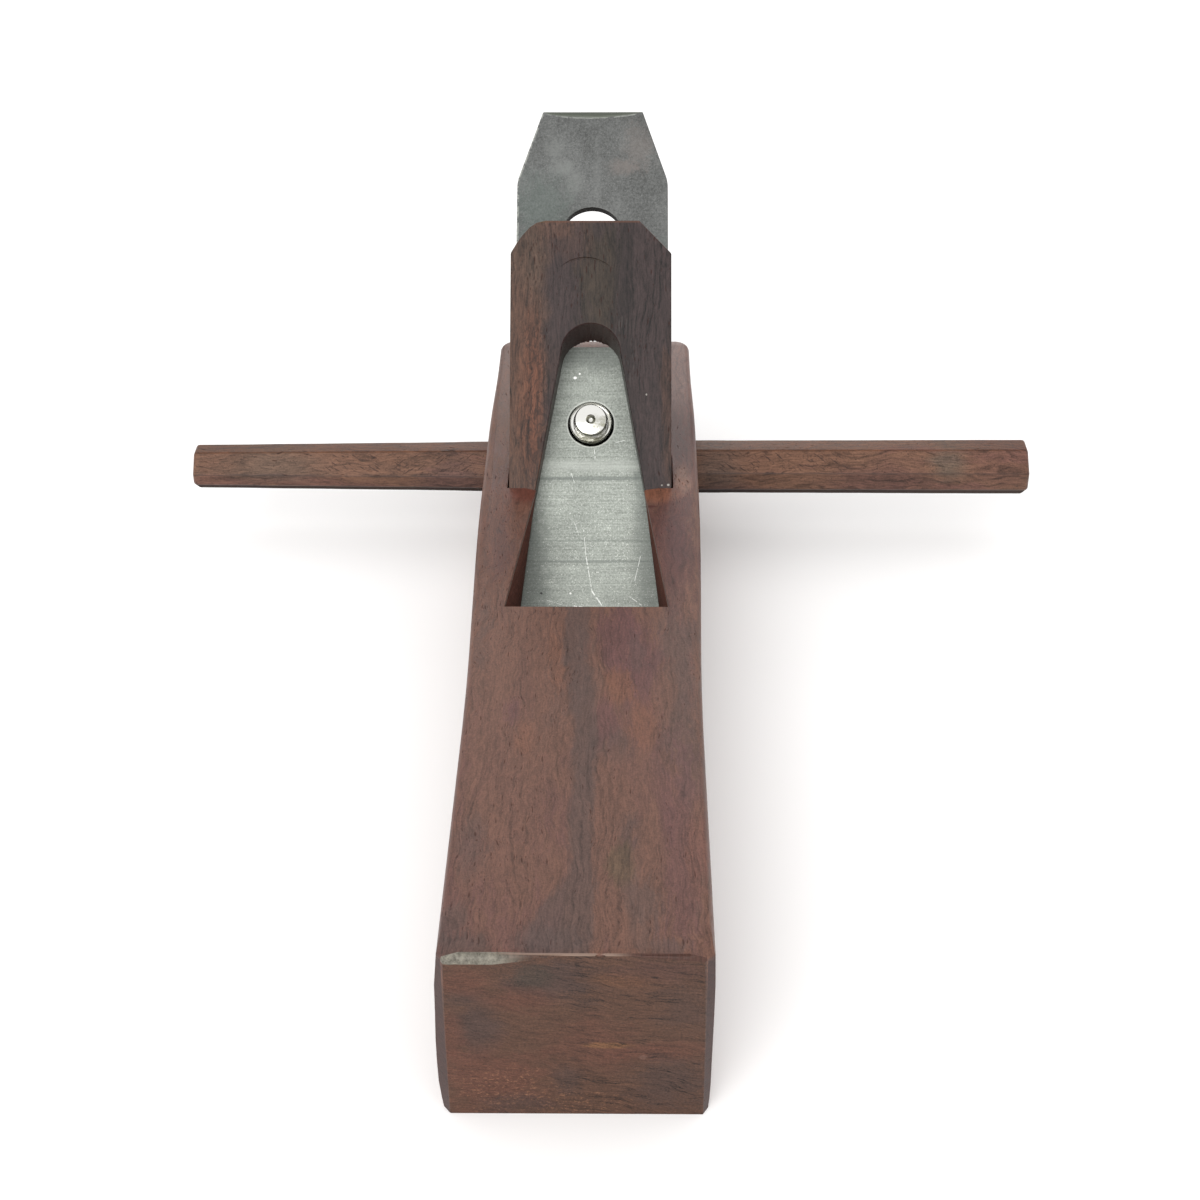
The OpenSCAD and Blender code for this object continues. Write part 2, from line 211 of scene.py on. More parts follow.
def vector_calc(tree, operation, *values, output=0):
    """One Vector Math node's result."""
    made = wire(tree, "ShaderNodeVectorMath", operation=operation)
    for socket, value in zip(made.inputs, values):
        connect(tree, value, socket)
    return made.outputs[output]


def noise(tree, place, turns, detail=3.0, roughness=0.5, output="Fac"):
    """Noise with its own number of turns in a millimetre across, along and through."""
    made = wire(tree, "ShaderNodeTexNoise", {"Vector": vector_calc(tree, "MULTIPLY", place, turns), "Scale": 1.0,
                                             "Detail": detail, "Roughness": roughness})
    return made.outputs[output]


def centred(tree, value, strength):
    """A pattern's distance from its middle value, with a strength."""
    return calc(tree, "MULTIPLY", calc(tree, "SUBTRACT", value, 0.5), strength)


def span(tree, value, low, high):
    """0 at low and 1 at high, with soft ends."""
    made = wire(tree, "ShaderNodeMapRange", {"Value": value, "From Min": low, "From Max": high},
                interpolation_type="SMOOTHSTEP")
    return made.outputs["Result"]


def between(tree, value, low, high, soft):
    """1 between low and high, and 0 outside, with soft ends."""
    return calc(tree, "MULTIPLY", span(tree, value, low - soft, low), span(tree, value, high + soft, high))


def blend(tree, share, first, second, kind="MIX"):
    """The first colour turned into the second by a share."""
    made = wire(tree, "ShaderNodeMix", data_type="RGBA", blend_type=kind)
    connect(tree, share, made.inputs["Factor"])
    connect(tree, first, made.inputs[6])
    connect(tree, second, made.inputs[7])
    return made.outputs[2]


def toned(tree, colour, light):
    """A colour times a light value."""
    grey = wire(tree, "ShaderNodeCombineColor", {"Red": light, "Green": light, "Blue": light}).outputs[0]
    return blend(tree, 1.0, colour, grey, "MULTIPLY")


def node_group(name, inputs, outputs):
    """An empty node group with named inputs and outputs, and its inner input sockets."""
    group = bpy.data.node_groups.new(name, "ShaderNodeTree")
    for label, kind, value in inputs:
        made = group.interface.new_socket(label, in_out="INPUT", socket_type="NodeSocket" + kind)
        if value is not None:
            made.default_value = value
    for label, kind in outputs:
        group.interface.new_socket(label, in_out="OUTPUT", socket_type="NodeSocket" + kind)
    return group, wire(group, "NodeGroupInput").outputs


def use(tree, group, **inputs):
    """Places a node group in a tree and gives its outputs."""
    named = {key.replace("_", " "): value for key, value in inputs.items()}
    return wire(tree, "ShaderNodeGroup", named, node_tree=group).outputs


def product(tree, first, *others):
    """Masks or values multiplied together."""
    for other in others:
        first = calc(tree, "MULTIPLY", first, other)
    return first


def total(tree, first, *others):
    """Values added together."""
    for other in others:
        first = calc(tree, "ADD", first, other)
    return first


def pore_group():
    """Open pores: short dark dashes along the grain, more of them where the density is higher."""
    group, given = node_group("pores", [("Grain", "Vector", None), ("Density", "Float", 0.2)], [("Mask", "Float")])
    masks = []
    for turns, share in (((1.3, 0.18, 1.3), 1.0), ((2.1, 0.36, 2.1), 0.8)):
        cells = wire(group, "ShaderNodeTexVoronoi",
                     {"Vector": vector_calc(group, "MULTIPLY", given["Grain"], turns), "Scale": 1.0})
        picked = wire(group, "ShaderNodeSeparateColor", {"Color": cells.outputs["Color"]}).outputs[0]
        chosen = calc(group, "LESS_THAN", picked, given["Density"])
        masks.append(product(group, span(group, cells.outputs["Distance"], 0.27, 0.10), chosen, share))
    wire(group, "NodeGroupOutput", {"Mask": calc(group, "MAXIMUM", *masks)})
    return group


def rosewood_group(pores):
    """Rosewood's figure with its grain along Y, for a colour to be laid under it.

    Zone tells the heartwood's zones apart, Tone is how light the wood is in its streaks, growth
    lines and fibres, Pores is the mask of the open pores, and Ripple frays the edge of a patch.
    """
    group, given = node_group(
        "rosewood",
        [("Grain", "Vector", None), ("Swirl", "Float", 6.0), ("Curl", "Float", 2.5), ("Lines", "Float", 1.0),
         ("Pores", "Float", 0.15)],
        [("Zone", "Float"), ("Tone", "Float"), ("Pores", "Float"), ("Ripple", "Float"), ("Rough", "Float"),
         ("Height", "Float")])
    # the fibres wander sideways, widely and finely
    bent = given["Grain"]
    for turns, reach in (((0.05, 0.017, 0.05), given["Swirl"]), ((0.13, 0.08, 0.13), given["Curl"])):
        drift = noise(group, given["Grain"], turns, 2.0, 0.5, "Color")
        drift = vector_calc(group, "SUBTRACT", drift, (0.5, 0.5, 0.5))
        drift = wire(group, "ShaderNodeVectorMath", {0: drift, "Scale": reach}, operation="SCALE").outputs[0]
        bent = vector_calc(group, "ADD", bent, drift)
    zones = noise(group, bent, (0.075, 0.012, 0.10), 3.0, 0.6)
    streaks = noise(group, bent, (0.6, 0.05, 0.6), 3.0, 0.6)
    fibres = noise(group, bent, (2.2, 0.22, 2.2), 2.0, 0.6)
    grit = noise(group, given["Grain"], (2.6, 1.9, 2.6), 2.0, 0.8)
    # growth lines: dark where a ring ends, and here and there fading out
    sideways = vector_calc(group, "DOT_PRODUCT", bent, (0.55, 0.0, 0.30), output="Value")
    ring = calc(group, "FRACT", total(group, sideways, centred(group, noise(group, bent, (0.06, 0.02, 0.06)), 6.0)))
    ring = product(group, span(group, ring, 0.55, 0.90), span(group, ring, 1.0, 0.94),
                   span(group, noise(group, bent, (0.25, 0.035, 0.25), 2.0), 0.42, 0.62))
    tone = total(group, centred(group, streaks, 0.7), centred(group, fibres, 1.1), product(group, ring, -0.24))
    tone = total(group, product(group, tone, given["Lines"]), centred(group, grit, 1.1), 1.03)
    crowds = centred(group, noise(group, bent, (0.20, 0.03, 0.20), 2.0, 0.5), 2.6)
    dashes = use(group, pores, Grain=bent, Density=total(group, given["Pores"], crowds))["Mask"]
    ripple = total(group, centred(group, noise(group, bent, (0.22, 0.06, 0.22), 4.0, 0.75), 2.8),
                   centred(group, noise(group, bent, (1.6, 0.15, 1.6), 2.0), 1.2))
    rough = calc(group, "MULTIPLY_ADD", dashes, 0.3, calc(group, "MULTIPLY_ADD", fibres, 0.25, 0.32))
    height = calc(group, "SUBTRACT", product(group, fibres, 0.6), dashes)
    wire(group, "NodeGroupOutput", {"Zone": zones, "Tone": tone, "Pores": dashes, "Ripple": ripple, "Rough": rough,
                                    "Height": height})
    return group


def spot_group():
    """A patch with a wavy edge: 1 inside its size and 0 outside."""
    group, given = node_group("spot", [("Place", "Vector", None), ("Centre", "Vector", (0, 0, 0)),
                                       ("Size", "Vector", (1, 1, 1)), ("Ripple", "Float", 0.0),
                                       ("Soft", "Float", 0.2)], [("Mask", "Float")])
    offset = vector_calc(group, "SUBTRACT", given["Place"], given["Centre"])
    away = vector_calc(group, "LENGTH", vector_calc(group, "DIVIDE", offset, given["Size"]), output="Value")
    away = calc(group, "ADD", away, given["Ripple"])
    mask = span(group, away, calc(group, "ADD", 1.0, given["Soft"]), calc(group, "SUBTRACT", 1.0, given["Soft"]))
    wire(group, "NodeGroupOutput", {"Mask": mask})
    return group


def line_group():
    """A straight scratch or crack from a start to an end: 1 on it and 0 beside it."""
    group, given = node_group("straight_line", [("Place", "Vector", None), ("Start", "Vector", (0, 0, 0)),
                                                ("End", "Vector", (0, 1, 0)), ("Width", "Float", 0.2)],
                              [("Mask", "Float")])
    along = vector_calc(group, "SUBTRACT", given["End"], given["Start"])
    offset = vector_calc(group, "SUBTRACT", given["Place"], given["Start"])
    share = calc(group, "DIVIDE", vector_calc(group, "DOT_PRODUCT", offset, along, output="Value"),
                 vector_calc(group, "DOT_PRODUCT", along, along, output="Value"), clamp=True)
    nearest = wire(group, "ShaderNodeVectorMath", {0: along, "Scale": share}, operation="SCALE").outputs[0]
    away = vector_calc(group, "DISTANCE", offset, nearest, output="Value")
    mask = span(group, calc(group, "DIVIDE", away, given["Width"]), 1.0, 0.2)
    wire(group, "NodeGroupOutput", {"Mask": mask})
    return group


def flat_place(tree, first, second, third=0.0):
    """A place laid flat, for patches and strokes: two of its parts, and how far it is from them."""
    return wire(tree, "ShaderNodeCombineXYZ", {"X": first, "Y": second, "Z": third}).outputs[0]


def spotted(tree, flat, ripple, across, along, half_across, half_along, soft=0.45):
    """The mask of one patch, from its middle and half sizes."""
    return use(tree, spot, Place=flat, Centre=(across, along, 0), Size=(half_across, half_along, 1), Ripple=ripple,
               Soft=soft)["Mask"]


def patched(tree, flat, ripple, colour, patches, soft=0.45):
    """A colour with patches over it: each has its middle, half sizes, shade and strength."""
    for *size, shade, strength in patches:
        mask = spotted(tree, flat, ripple, *size, soft)
        colour = blend(tree, product(tree, mask, strength), colour, (*shade, 1))
    return colour


def stroked(tree, flat, strokes):
    """The mask of straight strokes: each has its start, end and width."""
    mask = 0.0
    for start_across, start_along, end_across, end_along, width in strokes:
        stroke = use(tree, straight_line, Place=flat, Start=(start_across, start_along, 0),
                     End=(end_across, end_along, 0), Width=width)["Mask"]
        mask = calc(tree, "MAXIMUM", mask, stroke)
    return mask


def figured(tree, wood, colour, depth=0.62):
    """A colour under the wood's figure: toned by its streaks and darkened in its pores."""
    colour = toned(tree, colour, wood["Tone"])
    return blend(tree, product(tree, wood["Pores"], depth), colour, PORE_DARK)


def piece_coordinates(tree, turn=(0, 0, 0), shift=(0, 0, 0)):
    """Object coordinates in millimetres, turned about the origin and then shifted."""
    place = wire(tree, "ShaderNodeTexCoord").outputs["Object"]
    made = wire(tree, "ShaderNodeMapping",
                {"Vector": place, "Scale": (1000, 1000, 1000), "Rotation": turn, "Location": shift})
    return made.outputs[0]


def split(tree, place):
    """The three parts of a place."""
    return wire(tree, "ShaderNodeSeparateXYZ", {0: place}).outputs


def bumped(tree, height, strength, depth):
    """A bump from a height, with its depth in millimetres."""
    return wire(tree, "ShaderNodeBump", {"Height": height, "Strength": strength, "Distance": depth * MM}).outputs[0]


def bench_copy(node):
    """A copy of a piece's mesh, welded and with its flat faces made whole."""
    shape = bmesh.new()
    shape.from_mesh(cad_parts[node].data)
    bmesh.ops.remove_doubles(shape, verts=shape.verts, dist=WELD)
    bmesh.ops.dissolve_limit(shape, angle_limit=FLAT_ANGLE, verts=shape.verts, edges=shape.edges)
    return shape


def outer_arris(edge):
    """Whether an edge is an outer corner that a hand would ease."""
    return len(edge.link_faces) == 2 and edge.is_convex and edge.calc_face_angle(0) > ARRIS_ANGLE


def ease(shape, edges, width, steps=3):
    """Rounds these edges to a width."""
    bmesh.ops.bevel(shape, geom=edges, offset=width, offset_type="OFFSET", segments=steps, profile=0.5,
                    affect="EDGES", clamp_overlap=True)


def plane_through(first, second, third, outward):
    """A place on the plane through three places, and its normal on the outward side."""
    first, second, third = (Vector(p) for p in (first, second, third))
    normal = (second - first).cross(third - first).normalized()
    if normal.dot(Vector(outward)) < 0:
        normal.negate()
    return first, normal


def pare(shape, cut, outward):
    """Pares off what lies outside a plane through three places, and closes the cut."""
    on_plane, normal = plane_through(*cut, outward)
    everything = shape.verts[:] + shape.edges[:] + shape.faces[:]
    made = bmesh.ops.bisect_plane(shape, geom=everything, plane_co=on_plane * MM, plane_no=normal, clear_outer=True)
    rim = [part for part in made["geom_cut"] if isinstance(part, bmesh.types.BMEdge)]
    bmesh.ops.edgeloop_fill(shape, edges=rim)
    bmesh.ops.recalc_face_normals(shape, faces=shape.faces)


def hull_tool(places):
    """The closed convex shape round these places, given in millimetres."""
    shape = bmesh.new()
    for place in places:
        shape.verts.new(Vector(place) * MM)
    made = bmesh.ops.convex_hull(shape, input=shape.verts)
    inner = {part for part in made["geom_interior"] + made["geom_unused"] if isinstance(part, bmesh.types.BMVert)}
    bmesh.ops.delete(shape, geom=list(inner), context="VERTS")
    bmesh.ops.recalc_face_normals(shape, faces=shape.faces)
    return shape


def bevel_tool(stations):
    """The wood that a knife takes off the toe's crest: how deep it cuts at each place across."""
    places = []
    for across, deep in stations:
        front = Vector((across, TOE_Y, TOE_CREST - deep))
        back = Vector((across, TOE_Y + BEVEL_LEAN * deep, TOE_CREST + BEVEL_LEAN * deep / 8))
        along = (back - front).normalized() if deep > 0 else Vector((0, BEVEL_LEAN, 1)).normalized()
        places += [front - along * 0.6, back + along * 1.2, Vector((across, TOE_Y - 2.0, TOE_CREST + 2.0))]
    return hull_tool(places)


def closed_loft(rings):
    """A closed skin over rings of equally many places, given in millimetres."""
    shape = bmesh.new()
    rows = [[shape.verts.new(Vector(p) * MM) for p in ring] for ring in rings]
    count = len(rows[0])
    for low, high in zip(rows, rows[1:]):
        for i in range(count):
            shape.faces.new((low[i], low[(i + 1) % count], high[(i + 1) % count], high[i]))
    shape.faces.new(rows[0])
    shape.faces.new(rows[-1])
    bmesh.ops.recalc_face_normals(shape, faces=shape.faces)
    return shape


def loose_object(name, shape):
    """An object made from a shape, which is used up."""
    mesh = bpy.data.meshes.new(name)
    shape.to_mesh(mesh)
    shape.free()
    made = bpy.data.objects.new(name, mesh)
    bpy.context.scene.collection.objects.link(made)
    return made


def plain_mesh(made):
    """What an object looks like with its modifiers, as a mesh of its own. The object goes."""
    seen = made.evaluated_get(bpy.context.evaluated_depsgraph_get())
    mesh = bpy.data.meshes.new_from_object(seen)
    bpy.data.objects.remove(made)
    return mesh


def worked(shape, tool, way):
    """A shape after a closed tool is cut out of it or joined to it."""
    work = loose_object("work", shape)
    cutter = loose_object("cutter", tool)
    cut = work.modifiers.new("cut", "BOOLEAN")
    cut.operation = way
    cut.solver = "EXACT"
    cut.object = cutter
    mesh = plain_mesh(work)
    bpy.data.objects.remove(cutter)
    result = bmesh.new()
    result.from_mesh(mesh)
    return result


def pebble(place, size, seed, rough=0.25):
    """A small uneven lump, used as a tool for chips and nicks."""
    shape = bmesh.new()
    bmesh.ops.create_icosphere(shape, subdivisions=2, radius=1.0)
    hand = random.Random(seed)
    for vert in shape.verts:
        swell = 1 + rough * (hand.random() - 0.5)
        vert.co = Vector([p * MM + c * s * MM * swell for p, c, s in zip(place, vert.co, size)])
    return shape


def finished(shape, name, material, body, slot, *nodes):
    """Makes the shape a piece that rides on its body and stands for its nodes."""
    made = loose_object(name, shape)
    made.data.polygons.foreach_set("use_smooth", [True] * len(made.data.polygons))
    made.data.set_sharp_from_angle(angle=SMOOTH_ANGLE)
    made.data.materials.clear()
    made.data.materials.append(material)
    made.modifiers.new("weighted_normals", "WEIGHTED_NORMAL").keep_sharp = True
    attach(made, body)
    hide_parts(*nodes)
    return made


def toe_side(height, column):
    """How far the toe's side stands out at a height, read from the table of its sides."""
    for low, high in zip(TOE_SIDES, TOE_SIDES[1:]):
        if height <= high[0]:
            share = (height - low[0]) / (high[0] - low[0])
            return low[column] + (high[column] - low[column]) * share
    return TOE_SIDES[-1][column]


def planed_toe(vert):
    """Moves a corner of the toe to where the hand-planed block has it."""
    x, y, z = vert.co / MM
    right = x > 0
    if y < TOE_Y + 0.1:
        x *= TOE_FACE[right] / math.copysign(26.7, x)
        if z < 15:
            x = TOE_FACE[right]
        z *= TOE_CREST / (STOCK_TOP - 1.2)
    elif y < TOE_Y + 2.1 and z < 44.1:
        x = toe_side(z, 2) if right else -toe_side(z, 1)
    vert.co = Vector((x, y, z)) * MM


def check_tool():
    """A thin sliver along the drying check beside the wedge."""
    start, end = Vector(CHECK_FROM), Vector(CHECK_TO)
    middle = (start + end) / 2
    side = (end - start).cross(Vector((0, 0, 1))).normalized() * CHECK_WIDTH / 2
    rows = []
    for height, share in ((0.2, 1.0), (-0.5, 0.35)):
        down = Vector((0, 0, height))
        rows.append([middle + (start - middle) * share + down, middle + side * share + down,
                     middle + (end - middle) * share + down, middle - side * share + down])
    return closed_loft(rows)


pores = pore_group()
rosewood = rosewood_group(pores)
spot = spot_group()
straight_line = line_group()

stock_shape = bench_copy("stock")
for corner in stock_shape.verts:
    planed_toe(corner)
for cut in CORNER_CUTS:
    pare(stock_shape, cut, (math.copysign(0.5, cut[0][0]), -0.3, 1))
throat_arrises = []
outside_arrises = []
for edge in stock_shape.edges:
    if outer_arris(edge) and any(v.co.z > 0.1 * MM for v in edge.verts):
        in_throat = all(abs(v.co.x) < 24 * MM and -20 * MM < v.co.y < 125 * MM for v in edge.verts)
        (throat_arrises if in_throat else outside_arrises).append(edge)
ease(stock_shape, outside_arrises, STOCK_EASE)
throat_arrises = [edge for edge in throat_arrises if edge.is_valid]
ease(stock_shape, throat_arrises, THROAT_EASE, 2)
for tool in (bevel_tool(LEFT_BEVEL), bevel_tool(RIGHT_BEVEL), hull_tool(LEFT_EAR_FACET), hull_tool(RIGHT_EAR_FACET),
             pebble(CHIP_PLACE, CHIP_SIZE, 3), check_tool()):
    stock_shape = worked(stock_shape, tool, "DIFFERENCE")

stock_wood, tree = new_material("stock_rosewood")
place = piece_coordinates(tree)
x, y, z = split(tree, place)
on_top = span(tree, z, 40.0, 45.0)
left_side = product(tree, span(tree, x, -1.0, -8.0), on_top)
wood = use(tree, rosewood, Grain=place, Swirl=6.0, Curl=4.0, Lines=1.05,
           Pores=calc(tree, "MULTIPLY_ADD", left_side, 0.26, 0.12))
ripple = wood["Ripple"]
# zones of purple and muted heartwood in the tan, and the top's own patches
colour = blend(tree, product(tree, span(tree, wood["Zone"], 0.50, 0.40), 0.5), (*TAN, 1), (*PURPLE, 1))
colour = blend(tree, product(tree, span(tree, wood["Zone"], 0.54, 0.62), 0.5), colour, (*MUTED, 1))
flat = flat_place(tree, x, y, calc(tree, "MULTIPLY_ADD", z, -0.11, 5.06))
colour = patched(tree, flat, ripple, colour, (
    (-17.0, -75.0, 12.5, 62.0, TAN, 0.8), (-16.5, -57.0, 2.0, 5.0, PURPLE, 0.7),
    (-7.0, -35.0, 1.8, 12.0, ORANGE, 0.5), (-13.0, -69.0, 2.2, 7.0, ORANGE, 0.5),
    (-23.0, -106.0, 3.0, 9.0, SLATE, 0.45), (-26.0, -130.0, 3.5, 6.0, SLATE, 0.55),
    (22.0, -48.0, 5.5, 36.0, MUTED, 0.75), (8.0, -27.0, 5.5, 12.0, PURPLE, 0.75),
    (14.0, -42.0, 4.8, 19.0, PURPLE, 0.75), (12.5, -33.0, 2.2, 7.0, SLATE, 0.4),
    (5.5, -62.0, 3.2, 11.0, PURPLE, 0.7), (8.5, -71.0, 3.6, 6.0, SLATE, 0.5),
    (8.5, -49.0, 3.0, 6.5, ORANGE, 0.75), (14.2, -63.0, 3.6, 9.0, ORANGE, 0.7),
    (19.5, -52.0, 2.8, 12.0, TAN, 0.8), (10.0, -86.0, 8.5, 12.0, TAN, 0.6),
    (22.0, -105.0, 4.8, 36.0, PURPLE, 0.6), (6.0, -102.0, 4.0, 10.0, TAN, 0.8),
    (11.5, -104.0, 2.2, 8.0, SLATE, 0.55), (9.3, -113.5, 2.6, 7.0, GREEN, 0.7),
    (15.5, -108.0, 3.0, 13.0, TAN, 0.8), (13.5, -124.0, 4.5, 7.0, MUTED, 0.7),
    (25.3, -108.0, 2.0, 15.0, ORANGE, 0.3), (5.5, -127.0, 5.0, 8.0, TAN, 0.8),
    (-24.0, -137.5, 6.0, 3.6, SLATE, 0.6), (-6.0, -136.5, 7.0, 4.6, SLATE, 0.6),
    (20.0, -138.0, 4.5, 2.8, SLATE, 0.5), (22.5, 24.0, 6.5, 32.0, RIGHT_EAR, 0.8), (-24.0, 24.0, 7.5, 32.0, LEFT_EAR, 0.75),
    (23.0, 22.0, 3.0, 12.0, DUSKY, 0.5), (-23.0, 14.0, 3.0, 12.0, DUSKY, 0.4),
    # painted sheen: the next patch lightens the heel's right half where it catches the light
    (22.5, 124.0, 10.0, 34.0, (0.165, 0.098, 0.082), 0.8),
    (22.5, 78.0, 7.5, 18.0, (0.060, 0.023, 0.019), 0.8), (-23.0, 80.0, 7.5, 18.0, (0.094, 0.036, 0.017), 0.6), (25.8, 51.5, 2.2, 6.5, (0.190, 0.100, 0.070), 0.7)))
colour = patched(tree, flat, product(tree, ripple, 0.4), colour, (
    (-18.0, 43.2, 4.6, 4.0, (0.095, 0.028, 0.018), 0.8), (18.6, 43.4, 5.2, 5.2, (0.165, 0.064, 0.036), 0.8),
    (17.1, 36.2, 1.6, 0.6, (0.050, 0.014, 0.012), 0.7)))
# a slate band of dark heartwood runs down the middle and widens at the toe
lean = total(tree, calc(tree, "MULTIPLY_ADD", span(tree, y, -25.0, -75.0), 2.7, -2.1),
             product(tree, span(tree, y, -115.0, -132.0), -4.0))
reach = calc(tree, "MULTIPLY_ADD", span(tree, y, -112.0, -134.0), 3.6, 2.7)
beside = calc(tree, "ABSOLUTE", calc(tree, "SUBTRACT", x, lean))
beside = calc(tree, "SUBTRACT", beside, calc(tree, "MULTIPLY_ADD", ripple, 2.0, reach))
band = product(tree, span(tree, beside, 1.3, -1.0), on_top, span(tree, y, 20.0, -10.0))
colour = blend(tree, product(tree, band, 0.66), colour, (*SLATE, 1))
colour = figured(tree, wood, colour)
# the end grain is darker, with fine growth layers that dip to the right, patches and a few long dark lines
on_toe = span(tree, y, TOE_Y + 0.5, TOE_Y + 0.1)
heave = centred(tree, noise(tree, place, (0.07, 0.0, 0.07), 2.0, 0.5), 6.0)
layered = flat_place(tree, x, 0.0, total(tree, calc(tree, "MULTIPLY_ADD", x, 0.16, z), heave))
layers = noise(tree, layered, (0.14, 0.0, 1.2), 4.0, 0.7)
threads = noise(tree, layered, (0.5, 0.0, 3.0), 2.0, 0.6)
speckle = noise(tree, place, (1.9, 1.9, 2.4), 3.0, 0.8)
lines = noise(tree, layered, (0.030, 0.0, 0.50), 2.0, 0.5)
lines = product(tree, between(tree, lines, 0.487, 0.499, 0.010), span(tree, x, -10.0, 2.0))
end_tone = total(tree, centred(tree, layers, 1.5), centred(tree, threads, 1.1), centred(tree, speckle, 2.2),
                 product(tree, lines, -0.45), 0.97)
fray = total(tree, centred(tree, noise(tree, layered, (0.10, 0.0, 0.24), 4.0, 0.75), 3.2),
             centred(tree, speckle, 1.2))
end_flat = flat_place(tree, x, z)
RUST = (0.088, 0.034, 0.022)
DULL = (0.048, 0.028, 0.023)
end_wood = patched(tree, end_flat, fray, (0.071, 0.034, 0.021, 1), (
    (-3.5, 38.5, 10.0, 5.5, DULL, 0.85), (-8.5, 40.0, 3.5, 3.0, (0.040, 0.030, 0.022), 0.6),
    (-20.0, 25.5, 4.2, 7.5, DULL, 0.85), (-24.0, 33.5, 3.0, 2.0, DULL, 0.6), (-23.5, 38.5, 5.5, 3.4, RUST, 0.6),
    (-11.5, 33.0, 7.0, 2.8, RUST, 0.6), (-18.5, 10.0, 11.0, 9.0, RUST, 0.75), (-26.0, 22.0, 2.4, 6.0, RUST, 0.6),
    (3.5, 20.0, 9.5, 6.5, RUST, 0.5), (16.5, 18.8, 10.5, 2.8, RUST, 0.65), (9.3, 39.0, 7.0, 2.0, (0.100, 0.044, 0.022), 0.7),
    (19.5, 9.5, 8.0, 6.5, DULL, 0.7), (-2.0, 10.5, 3.0, 3.8, DULL, 0.65), (-13.5, 3.0, 7.0, 2.6, DULL, 0.65),
    (18.0, 41.5, 9.5, 3.4, (0.060, 0.028, 0.022), 0.6), (23.0, 31.0, 5.5, 6.0, DULL, 0.5)), 0.6)
end_wood = patched(tree, end_flat, product(tree, fray, 0.4), end_wood, (
    (6.5, 20.4, 5.0, 0.8, (0.150, 0.072, 0.030), 0.6), (13.8, 17.0, 0.8, 0.6, (0.150, 0.080, 0.060), 0.6),
    (-0.6, 16.6, 0.8, 0.7, (0.030, 0.016, 0.012), 0.5)))
flecked = calc(tree, "MAXIMUM", spotted(tree, end_flat, fray, -15.0, 7.5, 12.0, 6.0, 0.7),
               spotted(tree, end_flat, fray, 0.0, 3.5, 10.0, 3.0, 0.7))
flecks = product(tree, span(tree, noise(tree, place, (0.8, 1.0, 1.5), 4.0, 0.8), 0.53, 0.62), flecked, 0.8)
end_wood = blend(tree, flecks, end_wood, (0.200, 0.095, 0.052, 1))
on_ends = calc(tree, "MAXIMUM", on_toe, span(tree, y, 139.0, 139.8))
colour = blend(tree, on_ends, colour, toned(tree, end_wood, end_tone))
# the toe's corners are pared to a greyer strip
corner = product(tree, span(tree, calc(tree, "ABSOLUTE", calc(tree, "ADD", x, 0.25)), 26.98, 27.2),
                 span(tree, y, TOE_Y + 2.1, TOE_Y + 1.9), span(tree, z, 45.0, 43.0))
colour = blend(tree, corner, colour, toned(tree, (0.046, 0.024, 0.021, 1), wood["Tone"]))
# the toe's crest: old grey wax in the left bevel, dark wood in the right one, and a painted highlight along the arris
below = calc(tree, "SUBTRACT", TOE_CREST, z)
behind = calc(tree, "SUBTRACT", y, TOE_Y)
smears = noise(tree, place, (0.8, 0.4, 0.7), 4.0, 0.75)
stray = centred(tree, smears, 0.5)
left_deep = calc(tree, "ABSOLUTE", calc(tree, "ADD", x, 21.5))
left_deep = calc(tree, "MULTIPLY_ADD", left_deep, -0.155, 3.47)
left_deep = calc(tree, "MINIMUM", left_deep, 2.72)
wax = product(tree, span(tree, total(tree, below, stray), left_deep, calc(tree, "SUBTRACT", left_deep, 0.12)),
              span(tree, total(tree, behind, product(tree, stray, 0.2)), 0.80, 0.68),
              between(tree, total(tree, x, product(tree, stray, 16.0)), -27.6, -17.0, 9.0))
right_deep = calc(tree, "MINIMUM", calc(tree, "MULTIPLY_ADD", x, 0.105, -0.945), 1.9)
right_cut = product(tree, span(tree, below, calc(tree, "ADD", right_deep, 0.05), calc(tree, "SUBTRACT", right_deep, 0.1)),
                    span(tree, x, 8.0, 12.0), span(tree, behind, 0.6, 0.5))
file_marks = centred(tree, noise(tree, place, (2.2, 0.2, 0.15), 2.0, 0.6), 2.0)
cut_shade = toned(tree, (0.056, 0.024, 0.018, 1), total(tree, file_marks, 1.0))
colour = blend(tree, product(tree, right_cut, 0.8), colour, cut_shade)
colour = blend(tree, product(tree, wax, 0.92), colour, toned(tree, WAX, total(tree, centred(tree, smears, 3.2), 0.95)))
# painted highlight: a pale strip along the toe's top arris
crest = product(tree, span(tree, behind, 0.62, 0.42), span(tree, below, 0.28, 0.18), between(tree, x, -23.0, 6.5, 6.0))
colour = blend(tree, product(tree, crest, 0.7), colour, (0.27, 0.19, 0.15, 1))
# the throat's walls are dark red, lighter beside the cap iron
inside = product(tree, span(tree, calc(tree, "ABSOLUTE", x), 23.6, 23.2), between(tree, y, -15.0, 64.0, 1.0),
                 between(tree, z, 0.6, 44.2, 0.3))
off = product(tree, calc(tree, "SUBTRACT", total(tree, z, 18.9), y), math.sqrt(0.5))
wall = blend(tree, span(tree, off, 16.0, 9.0), (0.105, 0.034, 0.021, 1), (0.075, 0.038, 0.028, 1))
colour = blend(tree, product(tree, inside, 0.92), colour, toned(tree, wall, wood["Tone"]))
rough = calc(tree, "MAXIMUM", wood["Rough"], product(tree, inside, 0.9))
chisel = noise(tree, place, (0.5, 0.5, 0.5), 3.0, 0.7)
height = total(tree, wood["Height"], product(tree, inside, chisel, 14.0))
surface(tree, Base_Color=colour, Roughness=rough, IOR=WOOD_IOR, Normal=bumped(tree, height, 0.6, 0.1))
finished(stock_shape, "plane_stock", stock_wood, "stock_body", "stock_wood", "stock")

